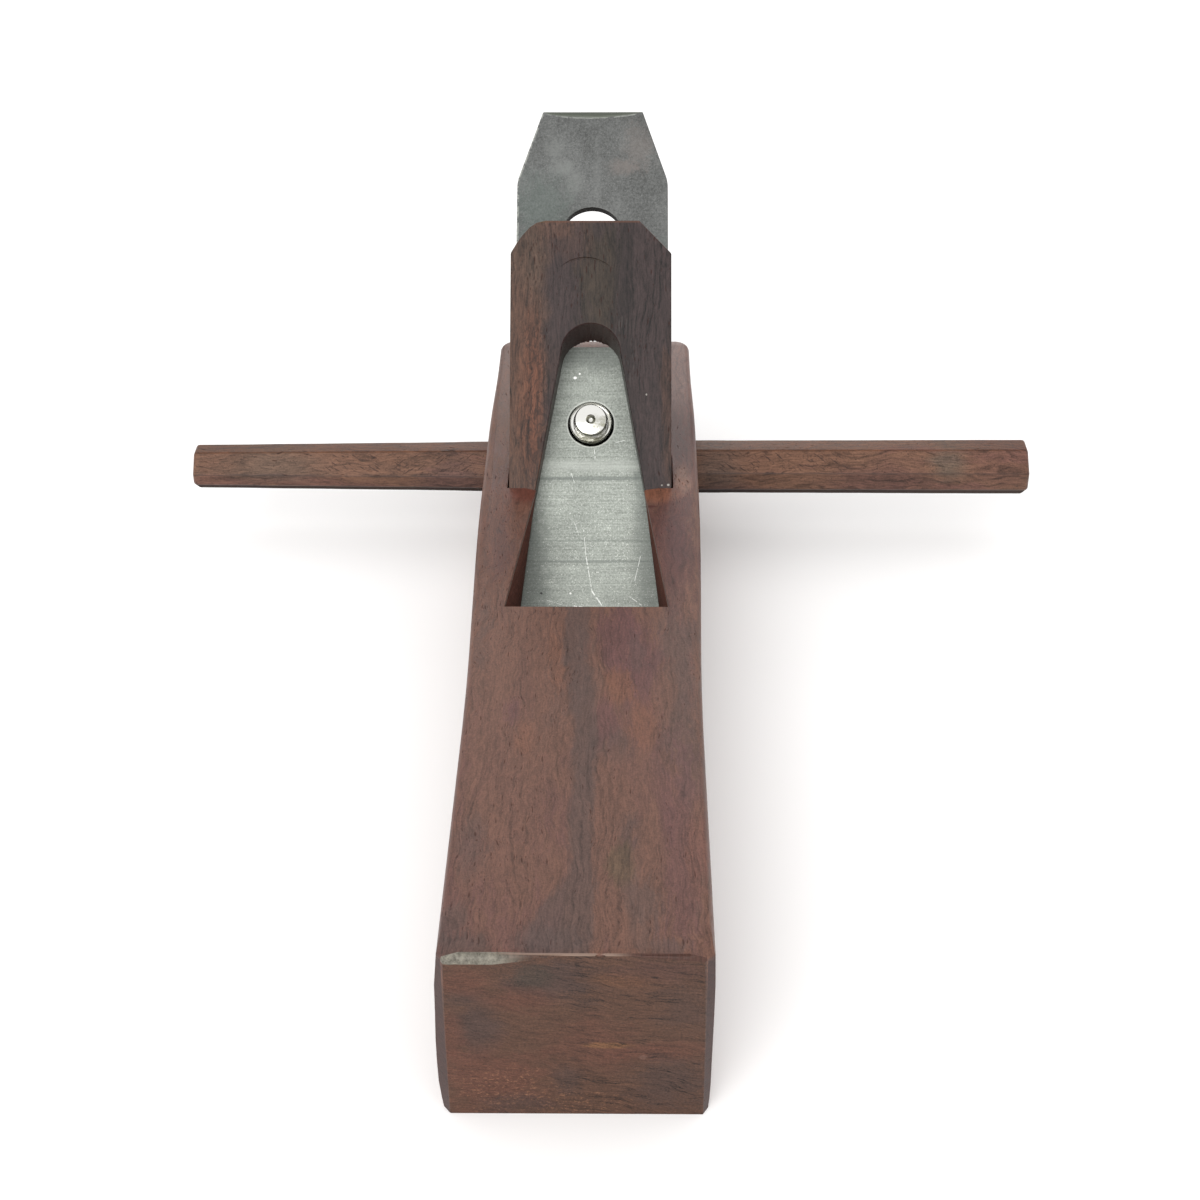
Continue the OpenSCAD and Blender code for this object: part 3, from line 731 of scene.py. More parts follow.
# The iron
# A plate of tempered steel with clipped top corners, dark and mottled from the forge.
# It lies on the bed and is held there by the wedge alone.
BED_TURN = (-math.radians(45), 0, 0)
BED_SHIFT = (0, -78.42, 13.36)
IRON_EASE = 0.3 * MM
IRON_TOP_U = 103.84
IRON_FRONT = 3.25
IRON_CLIP_U = 82.04
IRON_HOLE_U = 64.84
IRON_HOLE_RADIUS = 9.0
CLIP_ROUND = 1.6 * MM
RIM_LEFT = -15.2
RIM_WIDTH = 30.6
RIM_DEPTH = 2.2


def bed_point(across, up, off):
    """A place on the bed, from its place across, up the bed and off the bed, in millimetres."""
    half_root = math.sqrt(0.5)
    return Vector((across, 64.9 + half_root * (up - off), 46.0 + half_root * (up + off)))


def bed_place(point):
    """How far a vertex lies across, up the bed and off the bed, in millimetres."""
    half_root = math.sqrt(0.5)
    behind, above = point.y / MM - 64.9, point.z / MM - 46.0
    return point.x / MM, half_root * (behind + above), half_root * (above - behind)


def struck_rim():
    """The shallow crescent that hammer blows left along the iron's top edge."""
    steps = 24
    rings = []
    for i in range(steps + 1):
        share = i / steps
        across = RIM_LEFT + RIM_WIDTH * share
        deep = RIM_DEPTH * math.sin(math.pi * share) ** 0.6 * (1 - 0.25 * share) + 0.05
        deep += 0.12 * math.sin(5.3 * across) * math.sin(math.pi * share)
        low = IRON_TOP_U - deep
        rings.append([bed_point(across, low, IRON_FRONT + 0.3), bed_point(across, low + 0.3, IRON_FRONT - 0.25),
                      bed_point(across, IRON_TOP_U + 0.6, IRON_FRONT - 0.5),
                      bed_point(across, IRON_TOP_U + 0.6, IRON_FRONT + 0.3)])
    return closed_loft(rings)


def steel_group():
    """Steel that is mottled, clouded and finely lined across its width, with bright flecks."""
    group, given = node_group(
        "steel", [("Place", "Vector", None), ("Colour", "Color", (0.3, 0.3, 0.3, 1)), ("Mottle", "Float", 1.0),
                  ("Clouds", "Float", 0.6), ("Lines", "Float", 0.6), ("Sparkle", "Float", 0.3)],
        [("Colour", "Color"), ("Rough", "Float"), ("Height", "Float")])
    mottle = noise(group, given["Place"], (2.0, 1.7, 2.0), 4.0, 0.7)
    clouds = noise(group, given["Place"], (0.10, 0.075, 0.10), 3.0, 0.6)
    lines = noise(group, given["Place"], (0.05, 1.9, 0.5), 4.0, 0.7)
    grit = noise(group, given["Place"], (2.6, 2.6, 2.6), 2.0, 0.8)
    tone = 1.0
    for pattern, strength in ((mottle, given["Mottle"]), (clouds, given["Clouds"]), (lines, given["Lines"])):
        tone = calc(group, "ADD", tone, calc(group, "MULTIPLY", centred(group, pattern, 2.0), strength))
    colour = toned(group, given["Colour"], tone)
    flecks = calc(group, "MULTIPLY", span(group, grit, 0.60, 0.68), given["Sparkle"])
    colour = blend(group, flecks, colour, (0.80, 0.82, 0.78, 1))
    rough = calc(group, "MULTIPLY_ADD", mottle, 0.30, 0.30)
    height = calc(group, "ADD", calc(group, "ADD", mottle, flecks), calc(group, "MULTIPLY", lines, given["Lines"]))
    wire(group, "NodeGroupOutput", {"Colour": colour, "Rough": rough, "Height": height})
    return group


iron_shape = bench_copy("iron")
clip_edges = []
for edge in iron_shape.edges:
    ends = [bed_place(v.co) for v in edge.verts]
    if all(abs(abs(e[0]) - 22) < 0.05 and abs(e[1] - IRON_CLIP_U) < 0.1 for e in ends):
        clip_edges.append(edge)
ease(iron_shape, clip_edges, CLIP_ROUND, 4)
ease(iron_shape, [e for e in iron_shape.edges if outer_arris(e)], IRON_EASE, 2)
iron_shape = worked(iron_shape, struck_rim(), "DIFFERENCE")
nick_hand = random.Random(11)
for i in range(10):
    nick_up = 57.0 + 2.7 * i + 1.6 * nick_hand.random()
    nick_across = -22.15 if nick_up < IRON_CLIP_U else -22.15 + (nick_up - IRON_CLIP_U) * 0.337
    nick_size = (0.28 + 0.18 * nick_hand.random(), 0.5 + 0.6 * nick_hand.random(), 0.35)
    lump = pebble(bed_point(nick_across, nick_up, IRON_FRONT + 0.05), nick_size, 20 + i, 0.5)
    iron_shape = worked(iron_shape, lump, "DIFFERENCE")

steel = steel_group()
iron_steel, tree = new_material("iron_steel")
place = piece_coordinates(tree, BED_TURN, BED_SHIFT)
across, up, off = split(tree, place)
flat = flat_place(tree, across, up)
metal = use(tree, steel, Place=place, Colour=(0.130, 0.134, 0.131, 1), Mottle=0.95, Clouds=0.40, Lines=0.15,
            Sparkle=0.10)
fray = centred(tree, noise(tree, place, (0.5, 0.35, 0.5), 5.0, 0.85), 3.6)
LIGHT_STEEL = (0.23, 0.24, 0.23)
PINK_STEEL = (0.21, 0.185, 0.172)
colour = patched(tree, flat, fray, metal["Colour"], (
    (-9.0, 86.5, 3.5, 2.0, LIGHT_STEEL, 0.5), (-5.5, 81.5, 2.2, 4.0, LIGHT_STEEL, 0.45),
    (-11.0, 92.0, 2.5, 3.0, LIGHT_STEEL, 0.35), (9.0, 86.5, 4.0, 2.2, PINK_STEEL, 0.5),
    (13.5, 92.5, 4.0, 6.0, PINK_STEEL, 0.4), (1.3, 84.0, 1.0, 10.0, (0.20, 0.205, 0.20), 0.35),
    (-15.0, 74.0, 8.0, 9.0, (0.120, 0.150, 0.135), 0.4), (0.0, 60.0, 24.0, 6.0, (0.125, 0.145, 0.135), 0.4)), 0.7)
# the struck rim is greenish, with a painted highlight as a pale wavy line along its lower step, and the left edge is
# nicked bright
deep = calc(tree, "SUBTRACT", IRON_FRONT, off)
rim = product(tree, span(tree, deep, 0.05, 0.2), span(tree, off, 2.4, 2.7), span(tree, up, 101.0, 101.5))
colour = blend(tree, product(tree, rim, 0.85), colour, (0.190, 0.210, 0.172, 1))
rim_share = calc(tree, "MULTIPLY_ADD", across, 1 / RIM_WIDTH, -RIM_LEFT / RIM_WIDTH, clamp=True)
rim_deep = calc(tree, "POWER", calc(tree, "SINE", product(tree, rim_share, math.pi)), 0.6)
rim_deep = product(tree, rim_deep, RIM_DEPTH, calc(tree, "MULTIPLY_ADD", rim_share, -0.25, 1.0))
# painted highlight: the pale line where the rim steps down
under_rim = calc(tree, "SUBTRACT", IRON_TOP_U, total(tree, up, rim_deep, product(tree, fray, 0.12)))
step_highlight = product(tree, between(tree, under_rim, 0.0, 0.22, 0.15), between(tree, across, -13.0, 12.0, 1.5),
               span(tree, noise(tree, place, (0.35, 0.1, 0.1), 3.0, 0.7), 0.38, 0.55))
colour = blend(tree, product(tree, step_highlight, 0.5), colour, (0.40, 0.42, 0.38, 1))
edge_wear = product(tree, span(tree, calc(tree, "MULTIPLY_ADD", calc(tree, "MAXIMUM", up, IRON_CLIP_U), -0.337, across),
                               -48.9, -49.5), span(tree, noise(tree, place, (0.8, 0.8, 0.8)), 0.42, 0.54), span(tree, off, 2.5, 2.8))
colour = blend(tree, product(tree, edge_wear, 0.6), colour, (0.55, 0.57, 0.53, 1))
# painted shade: the hole's wall is near-black and not metallic
from_hole = vector_calc(tree, "DISTANCE", flat, (0, IRON_HOLE_U, 0), output="Value")
hole_shade = product(tree, span(tree, from_hole, IRON_HOLE_RADIUS + 0.12, IRON_HOLE_RADIUS + 0.02),
                  span(tree, off, 3.15, 2.9))
colour = blend(tree, hole_shade, colour, (0.006, 0.006, 0.006, 1))
surface(tree, Base_Color=colour, Metallic=calc(tree, "SUBTRACT", 1.0, hole_shade),
        Roughness=calc(tree, "MAXIMUM", metal["Rough"], product(tree, hole_shade, 0.8)),
        Normal=bumped(tree, metal["Height"], 0.35, 0.08))
finished(iron_shape, "cutting_iron", iron_steel, "iron_body", "iron_steel", "iron")

# The cap iron
# A thinner plate, milled bright across its width, that is screwed to the iron's front.
# Its lip is bent to press on the iron just behind the edge.
CAP_EASE = 0.2 * MM
CAP_FRONT = 5.90
SCREW_U = 7.44
BORE_RADIUS = 6.25
CAP_SHORTER = 0.5
cap_shape = bench_copy("cap_iron")
for corner in cap_shape.verts:
    across, up, off = bed_place(corner.co)
    if up > 29:
        corner.co = bed_point(across, up - CAP_SHORTER, off) * MM
    out = math.hypot(across, up - SCREW_U)
    if 5.5 < out < 7 and CAP_FRONT - 0.7 < off < CAP_FRONT - 0.5:
        wider = BORE_RADIUS / out
        corner.co = bed_point(across * wider, SCREW_U + (up - SCREW_U) * wider, CAP_FRONT - 1.6) * MM
ease(cap_shape, [e for e in cap_shape.edges if outer_arris(e)], CAP_EASE, 2)

cap_steel, tree = new_material("cap_steel")
place = piece_coordinates(tree, BED_TURN, BED_SHIFT)
across, up, off = split(tree, place)
flat = flat_place(tree, across, up)
sparkle = calc(tree, "MULTIPLY_ADD", span(tree, up, 10.0, -40.0), 0.55, 0.25)
metal = use(tree, steel, Place=place, Colour=(0.270, 0.290, 0.264, 1), Mottle=0.95, Clouds=0.30, Lines=0.6,
            Sparkle=sparkle)
fray = centred(tree, noise(tree, place, (0.5, 0.4, 0.5), 4.0, 0.7), 1.8)
DARK_STEEL_AND_SHADE = (0.130, 0.145, 0.135)
# painted shade: the broad dark patch on the left is the left ear's shadow and the one at the top end is shade under the
# wedge's arch; a dark patch also runs down the right side, and the thin bands across are milling lines
colour = patched(tree, flat, fray, metal["Colour"], (
    (-19.5, -36.0, 7.5, 26.0, DARK_STEEL_AND_SHADE, 0.6), (16.5, -20.0, 4.0, 36.0, DARK_STEEL_AND_SHADE, 0.5),
    (0.5, -4.8, 16.0, 1.5, (0.40, 0.42, 0.39), 0.5), (0.0, 29.0, 16.0, 5.0, DARK_STEEL_AND_SHADE, 0.5)), 0.5)
colour = patched(tree, flat, product(tree, fray, 0.15), colour, (
    (0.0, -8.5, 17.0, 0.6, DARK_STEEL_AND_SHADE, 0.6), (1.5, -32.5, 17.0, 0.35, DARK_STEEL_AND_SHADE, 0.6),
    (1.5, -26.5, 17.0, 0.25, DARK_STEEL_AND_SHADE, 0.35), (-4.6, 21.1, 0.48, 0.4, (0.95, 0.95, 0.93), 0.9),
    (-3.3, 22.3, 0.28, 0.28, (0.95, 0.95, 0.93), 0.9), (-5.5, -41.6, 0.28, 0.28, (0.90, 0.90, 0.88), 0.8),
    (-13.6, -41.6, 0.34, 0.3, (0.03, 0.03, 0.03), 0.9)), 0.3)
scratch = stroked(tree, flat, (
    (-2.0, -23.0, -1.2, -31.0, 0.11), (-1.2, -31.0, 0.5, -41.0, 0.15), (0.5, -41.0, 4.0, -46.0, 0.26),
    (1.0, 0.0, 1.2, -3.0, 0.12), (14.0, -31.0, 12.4, -38.0, 0.13), (11.0, -42.5, 14.3, -44.9, 0.14),
    (-5.5, -7.0, -4.5, -10.0, 0.10), (-12.0, -43.6, -8.0, -44.8, 0.10), (7.0, 2.0, 9.5, 2.6, 0.10),
    (-4.5, -45.2, 0.0, -45.6, 0.18), (-4.6, -21.0, -3.2, -25.0, 0.08)))
scratch = product(tree, scratch, span(tree, noise(tree, place, (1.3, 1.3, 1.3), 2.0), 0.36, 0.52))
colour = blend(tree, product(tree, scratch, 0.65), colour, (0.93, 0.95, 0.92, 1))
# painted highlight: a pale ring round the bore's edge; painted shade: the bore's wall is dark
from_screw = vector_calc(tree, "DISTANCE", flat, (0, SCREW_U, 0), output="Value")
bore_edge_highlight = product(tree, between(tree, from_screw, 6.45, 6.9, 0.15), 0.4)
colour = blend(tree, bore_edge_highlight, colour, (0.62, 0.64, 0.60, 1))
bore_shade = product(tree, span(tree, from_screw, 6.42, 6.34), span(tree, off, 5.8, 5.6), 0.9)
colour = blend(tree, bore_shade, colour, (0.02, 0.02, 0.018, 1))
cap_height = calc(tree, "SUBTRACT", metal["Height"], scratch)
surface(tree, Base_Color=colour, Metallic=1.0, Roughness=metal["Rough"], Normal=bumped(tree, cap_height, 0.3, 0.08))
finished(cap_shape, "cap_plate", cap_steel, "cap_iron_body", "cap_steel", "cap_iron")

# The cap screw
# A nickel-plated screw. Its flat head sits behind the iron, and its domed nose stands
# out of the cap iron, dimpled in the middle by the lathe's centre.
SCREW_STEPS = 96
DRIVER_WIDTH = 1.8
DRIVER_DEPTH = 1.4
HEAD_BACK = -3.2
NOSE_RING = CAP_FRONT + 1.7
NOSE_TOP = CAP_FRONT + 4.8
CREST_RADIUS = 6.0
NOSE_FOOT_RADIUS = 4.85
NOSE_HEAD_RADIUS = 4.5
DOME_RISE = 0.75
DOME_ROUND = 0.4
DIMPLE_RADIUS = 1.4
DIMPLE_DEEP = 0.9
THREAD_TURNS = 3.0
THREAD_RIDGE = 0.18 * MM


def turned_profile():
    """Half of the screw's outline, as radius and distance off the bed, from head to nose."""
    points = [(8.1, HEAD_BACK), (8.5, HEAD_BACK + 0.4), (8.5, -0.25), (8.25, 0.0), (CREST_RADIUS, 0.0),
              (CREST_RADIUS, NOSE_RING - 0.30), (CREST_RADIUS - 0.10, NOSE_RING - 0.08),
              (CREST_RADIUS - 0.20, NOSE_RING), (CREST_RADIUS - 0.34, NOSE_RING - 0.08),
              (CREST_RADIUS - 0.40, NOSE_RING - 1.1), (NOSE_FOOT_RADIUS, NOSE_RING - 1.1),
              (NOSE_FOOT_RADIUS, NOSE_RING + 0.1), (NOSE_HEAD_RADIUS, NOSE_TOP - DOME_RISE)]
    steps = 6
    for i in range(1, steps + 1):
        angle = math.pi / 2 * i / steps
        points.append((NOSE_HEAD_RADIUS - DOME_ROUND * (1 - math.cos(angle)),
                       NOSE_TOP - DOME_RISE + DOME_ROUND * math.sin(angle)))
    edge = NOSE_HEAD_RADIUS - DOME_ROUND
    for i in range(1, steps):
        radius = edge + (DIMPLE_RADIUS - edge) * i / steps
        points.append((radius, NOSE_TOP - (DOME_RISE - DOME_ROUND) * (radius / edge) ** 2))
    points += [(DIMPLE_RADIUS, NOSE_TOP - 0.03), (DIMPLE_RADIUS - 0.15, NOSE_TOP - 0.2),
               (DIMPLE_RADIUS * 0.50, NOSE_TOP - DIMPLE_DEEP), (0.2, NOSE_TOP - DIMPLE_DEEP - 0.05)]
    return points


def screw_ring(radius, off):
    """One ring of the screw."""
    angles = [2 * math.pi * i / SCREW_STEPS for i in range(SCREW_STEPS)]
    return [bed_point(radius * math.cos(a), SCREW_U + radius * math.sin(a), off) for a in angles]


def named_tree(name, inputs):
    """An empty Geometry Nodes tree with named number inputs, a Material input and one geometry output."""
    made = bpy.data.node_groups.new(name, "GeometryNodeTree")
    for label in inputs:
        made.interface.new_socket(label, in_out="INPUT", socket_type="NodeSocketFloat")
    made.interface.new_socket("Material", in_out="INPUT", socket_type="NodeSocketMaterial")
    made.interface.new_socket("Geometry", in_out="OUTPUT", socket_type="NodeSocketGeometry")
    return made, wire(made, "NodeGroupInput").outputs


def swept(tree, path, section, scale):
    """A section swept along a path and scaled along it, with closed ends."""
    made = wire(tree, "GeometryNodeCurveToMesh",
                {"Curve": path, "Profile Curve": section, "Scale": scale, "Fill Caps": True})
    return made.outputs[0]


def end_tree(tree, geometry, material):
    """Ends a Geometry Nodes tree in Realize Instances and Set Material."""
    real = wire(tree, "GeometryNodeRealizeInstances", {0: geometry}).outputs[0]
    dressed = wire(tree, "GeometryNodeSetMaterial", {"Geometry": real, "Material": material}).outputs[0]
    wire(tree, "NodeGroupOutput", {"Geometry": dressed})


def grown(group, material, **sizes):
    """The mesh that a Geometry Nodes tree makes with these sizes, as a shape."""
    made = bpy.data.objects.new("grown", bpy.data.meshes.new("grown"))
    bpy.context.scene.collection.objects.link(made)
    live = made.modifiers.new("tree", "NODES")
    live.node_group = group
    for item in group.interface.items_tree:
        if item.item_type == "SOCKET" and item.in_out == "INPUT":
            live[item.identifier] = material if item.name == "Material" else sizes[item.name.replace(" ", "_")]
    mesh = plain_mesh(made)
    shape = bmesh.new()
    shape.from_mesh(mesh)
    bmesh.ops.remove_doubles(shape, verts=shape.verts, dist=WELD)
    bmesh.ops.recalc_face_normals(shape, faces=shape.faces)
    return shape


def thread_tree():
    """A ridge that winds round a cone: the worn thread of the screw's nose."""
    tree, given = named_tree("nose_thread", ("Turns", "Low Radius", "High Radius", "Rise", "Ridge"))
    path = wire(tree, "GeometryNodeCurveSpiral",
                {"Resolution": SCREW_STEPS, "Rotations": given["Turns"], "Start Radius": given["Low Radius"],
                 "End Radius": given["High Radius"], "Height": given["Rise"]}).outputs[0]
    ridge = wire(tree, "GeometryNodeCurvePrimitiveCircle", {"Resolution": 10, "Radius": given["Ridge"]}).outputs[0]
    end_tree(tree, swept(tree, path, ridge, 1.0), given["Material"])
    return tree


screw_nickel, tree = new_material("screw_nickel")
place = piece_coordinates(tree, BED_TURN, BED_SHIFT)
across, up, off = split(tree, place)
smudge = noise(tree, vector_calc(tree, "ADD", place, (3.0, 9.0, 0.0)), (0.35, 0.45, 0.35), 3.0, 0.55)
lean = span(tree, calc(tree, "SUBTRACT", product(tree, across, 0.6), calc(tree, "SUBTRACT", up, SCREW_U)), -2.0, 3.5)
stained = product(tree, span(tree, smudge, 0.42, 0.58), lean, 0.9)
turned_lines = noise(tree, place, (0.35, 2.4, 2.4), 2.0, 0.6)
low_side = product(tree, span(tree, calc(tree, "SUBTRACT", SCREW_U, up), 2.4, 4.2), span(tree, turned_lines, 0.40, 0.56), 0.85)
stained = calc(tree, "MAXIMUM", stained, low_side)
colour = blend(tree, stained, (0.80, 0.80, 0.765, 1), (0.30, 0.30, 0.23, 1))
# painted shade: the grooves between the thread's ridges and the dimple are darkened
from_axis = vector_calc(tree, "DISTANCE", flat_place(tree, across, up), (0, SCREW_U, 0), output="Value")
cone = calc(tree, "MULTIPLY_ADD", calc(tree, "SUBTRACT", off, NOSE_RING - 1.1),
            (NOSE_HEAD_RADIUS - NOSE_FOOT_RADIUS) / (NOSE_TOP - DOME_RISE - NOSE_RING + 1.1), NOSE_FOOT_RADIUS)
groove = product(tree, span(tree, calc(tree, "SUBTRACT", from_axis, cone), 0.09, 0.03),
                 span(tree, off, NOSE_TOP - DOME_RISE, NOSE_TOP - DOME_RISE - 0.2), span(tree, from_axis, 4.0, 4.3))
hollow = product(tree, between(tree, from_axis, 0.60, 1.22, 0.12), span(tree, off, NOSE_TOP - 0.02, NOSE_TOP - 0.12))
groove_shade = calc(tree, "MAXIMUM", product(tree, groove, 0.65), product(tree, hollow, 0.85))
colour = blend(tree, groove_shade, colour, (0.13, 0.13, 0.105, 1))
surface(tree, Base_Color=colour, Metallic=1.0, Roughness=calc(tree, "MULTIPLY_ADD", stained, 0.2, 0.12))

screw_shape = closed_loft([screw_ring(*point) for point in turned_profile()])
thread = grown(thread_tree(), screw_nickel, Turns=THREAD_TURNS, Low_Radius=(NOSE_FOOT_RADIUS - 0.02) * MM,
               High_Radius=(NOSE_HEAD_RADIUS + 0.03) * MM, Rise=1.75 * MM, Ridge=THREAD_RIDGE)
for corner in thread.verts:
    over, beside, rise = corner.co / MM
    corner.co = bed_point(over, SCREW_U + beside, NOSE_RING + 0.1 + rise) * MM
screw_shape = worked(screw_shape, thread, "UNION")
slot_corners = ((-9, -DRIVER_WIDTH / 2), (9, -DRIVER_WIDTH / 2), (9, DRIVER_WIDTH / 2), (-9, DRIVER_WIDTH / 2))
driver_slot = closed_loft([[bed_point(a, SCREW_U + b, off) for a, b in slot_corners]
                           for off in (HEAD_BACK - 1, HEAD_BACK + DRIVER_DEPTH)])
screw_shape = worked(screw_shape, driver_slot, "DIFFERENCE")
finished(screw_shape, "cap_screw_nickel", screw_nickel, "cap_screw_body", "screw_plate", "cap_screw")

# The wedge
# A forked block of darker rosewood that is driven under the ears. Its legs press the
# cap iron down on both sides of the screw, and its top corners are sawn off.
WEDGE_HALF = 22.6
WEDGE_TOP_U = 62.45
WEDGE_TIP_U = -46.65
WEDGE_BACK = 5.95
EAR_U = -13.15
WEDGE_AT_EAR = 13.10
WEDGE_RISE = math.tan(math.radians(6.3))
WEDGE_BEVEL = 0.35
ARCH_U = 24.85
ARCH_RADIUS = 8.3
ARCH_STEPS = 56
LEG_SPREAD = 6.8 / 38.0
LEFT_CORNER = ((-WEDGE_HALF, 53.2), (-21.0, 55.9), (-19.3, 58.3), (-17.3, 60.5), (-15.4, 61.8), (-12.8, WEDGE_TOP_U))
RIGHT_CORNER = ((13.5, WEDGE_TOP_U), (WEDGE_HALF, 53.05))
WEDGE_EASE = 0.35 * MM
TORN_DEPTH = 1.3
MARK_CENTRE = (-1.6, 40.65)
MARK_RADIUS = 11.0
MARK_HALF_ANGLE = math.radians(38)
MARK_WIDTH = 0.32


def wedge_front(up):
    """How far the wedge's front stands off the bed at a place up the bed."""
    return WEDGE_AT_EAR + WEDGE_RISE * (up - EAR_U)


def is_torn(edge):
    """Whether an edge belongs to the arch's torn back edge."""
    places = [bed_place(v.co) for v in edge.verts]
    return any(p[2] < WEDGE_BACK + 0.1 and abs(p[0]) < ARCH_RADIUS + 0.1 and p[1] > ARCH_U - 1 for p in places)


def mark_tree():
    """An arc that swells from nothing to its width and back: the stroke of a scribe."""
    tree, given = named_tree("scribed_arc", ("Radius", "Start Angle", "Sweep", "Width"))
    path = wire(tree, "GeometryNodeCurveArc", {"Resolution": 40, "Radius": given["Radius"],
                                               "Start Angle": given["Start Angle"],
                                               "Sweep Angle": given["Sweep"]}).outputs[0]
    along = wire(tree, "GeometryNodeSplineParameter").outputs["Factor"]
    swell = wire(tree, "ShaderNodeMath", {0: along, 1: math.pi}, operation="MULTIPLY").outputs[0]
    swell = wire(tree, "ShaderNodeMath", {0: swell}, operation="SINE").outputs[0]
    swell = wire(tree, "ShaderNodeMath", {0: swell, 1: 0.05}, operation="MAXIMUM").outputs[0]
    swell = wire(tree, "ShaderNodeMath", {0: swell, 1: 0.5}, operation="POWER").outputs[0]
    stroke = wire(tree, "GeometryNodeCurvePrimitiveCircle", {"Resolution": 6, "Radius": given["Width"]}).outputs[0]
    end_tree(tree, swept(tree, path, stroke, swell), given["Material"])
    return tree


foot = ARCH_RADIUS + LEG_SPREAD * (ARCH_U - WEDGE_TIP_U)
outline = [(-WEDGE_HALF, WEDGE_TIP_U), *LEFT_CORNER, *RIGHT_CORNER, (WEDGE_HALF, WEDGE_TIP_U), (foot, WEDGE_TIP_U)]
arch = []
for i in range(ARCH_STEPS + 1):
    angle = math.pi * i / ARCH_STEPS
    arch.append((ARCH_RADIUS * math.cos(angle), ARCH_U + ARCH_RADIUS * math.sin(angle)))
last_corner = (-foot, WEDGE_TIP_U)
tear_hand = random.Random(5)
front_ring = [bed_point(a, u, wedge_front(u)) for a, u in (*outline, *arch, last_corner)]
back_ring = [bed_point(a, u, WEDGE_BACK) for a, u in outline]
for a, u in arch:
    high = max(0.0, (u - ARCH_U) / ARCH_RADIUS)
    torn = 1 - high * (0.72 + 0.28 * tear_hand.random()) * TORN_DEPTH / ARCH_RADIUS
    back_ring.append(bed_point(a * torn, ARCH_U + (u - ARCH_U) * torn, WEDGE_BACK))
back_ring.append(bed_point(*last_corner, WEDGE_BACK))
wedge_shape = closed_loft([back_ring, front_ring])
top_front = wedge_front(WEDGE_TOP_U)
pare(wedge_shape, (bed_point(-10, WEDGE_TOP_U, top_front - WEDGE_BEVEL / 2),
                   bed_point(10, WEDGE_TOP_U, top_front - WEDGE_BEVEL / 2),
                   bed_point(0, WEDGE_TOP_U - WEDGE_BEVEL, wedge_front(WEDGE_TOP_U - WEDGE_BEVEL))), (0, -0.2, 1))
ease(wedge_shape, [e for e in wedge_shape.edges if outer_arris(e) and not is_torn(e)], WEDGE_EASE)

wedge_wood, tree = new_material("wedge_rosewood")
mark = grown(mark_tree(), wedge_wood, Radius=MARK_RADIUS * MM, Start_Angle=math.pi / 2 - MARK_HALF_ANGLE,
             Sweep=2 * MARK_HALF_ANGLE, Width=MARK_WIDTH * MM)
for corner in mark.verts:
    over, up, proud = corner.co / MM
    over, up = over + MARK_CENTRE[0], up + MARK_CENTRE[1]
    corner.co = bed_point(over, up, wedge_front(up) + proud) * MM
wedge_shape = worked(wedge_shape, mark, "DIFFERENCE")

place = piece_coordinates(tree, BED_TURN, BED_SHIFT)
across, up, off = split(tree, place)
flat = flat_place(tree, across, up)
stray = centred(tree, noise(tree, place, (0.09, 0.12, 0.09), 4.0, 0.65), 9.0)
left_side = span(tree, total(tree, stray, across), -10.8, -15.4)
wood = use(tree, rosewood, Grain=vector_calc(tree, "ADD", place, (57.0, 31.0, 12.0)),
           Swirl=4.0, Curl=2.2, Lines=2.1, Pores=0.24)
RUSSET = (0.096, 0.036, 0.020)
BLACK = (0.014, 0.010, 0.0095)
VIOLET = (0.031, 0.0205, 0.020)
colour = blend(tree, left_side, (*VIOLET, 1), (0.062, 0.035, 0.025, 1))
colour = patched(tree, flat, wood["Ripple"], colour, (
    (2.5, 45.0, 5.5, 22.0, (0.029, 0.021, 0.014), 0.8), (9.6, 30.0, 3.2, 34.0, BLACK, 0.75),
    (17.0, 20.0, 5.5, 40.0, VIOLET, 0.6),
    (-16.5, -1.0, 2.0, 9.0, (0.016, 0.012, 0.011), 0.55),
    (-18.0, 52.0, 5.0, 8.0, (0.056, 0.036, 0.026), 0.6), (-5.5, 57.0, 6.5, 6.0, (0.048, 0.026, 0.020), 0.5),
    (12.5, -8.0, 3.0, 14.0, BLACK, 0.5), (-10.5, 60.0, 4.0, 2.6, (0.085, 0.044, 0.030), 0.5), (21.6, 8.0, 1.6, 24.0, (0.055, 0.028, 0.019), 0.6)))
colour = patched(tree, flat, product(tree, wood["Ripple"], 0.45), colour, (
    (-16.6, 12.0, 3.6, 20.0, RUSSET, 0.85), (-20.0, 14.0, 3.0, 30.0, (0.082, 0.038, 0.023), 0.5),
    (-10.0, 17.0, 1.8, 10.0, (0.040, 0.023, 0.019), 0.5)), 0.6)
colour = figured(tree, wood, colour, 0.85)
# the black heart has pale threads, and the russet side has curly dark cracks
threads = product(tree, span(tree, noise(tree, place, (2.4, 0.05, 2.4), 2.0), 0.56, 0.66),
                  between(tree, across, 8.0, 12.0, 1.0), between(tree, up, 14.0, 34.0, 8.0), 0.45)
colour = blend(tree, threads, colour, (0.062, 0.052, 0.048, 1))
drift = wire(tree, "ShaderNodeVectorMath", {0: noise(tree, place, (0.20, 0.12, 0.20), 2.0, 0.5, "Color"),
                                            "Scale": 9.0}, operation="SCALE").outputs[0]
curls = noise(tree, vector_calc(tree, "ADD", place, drift), (0.75, 0.13, 0.4), 2.0, 0.5)
curls = product(tree, between(tree, curls, 0.480, 0.520, 0.030), between(tree, across, -18.0, -12.0, 2.0),
                between(tree, up, -20.0, 30.0, 6.0), 0.5)
colour = blend(tree, curls, colour, (0.012, 0.007, 0.006, 1))
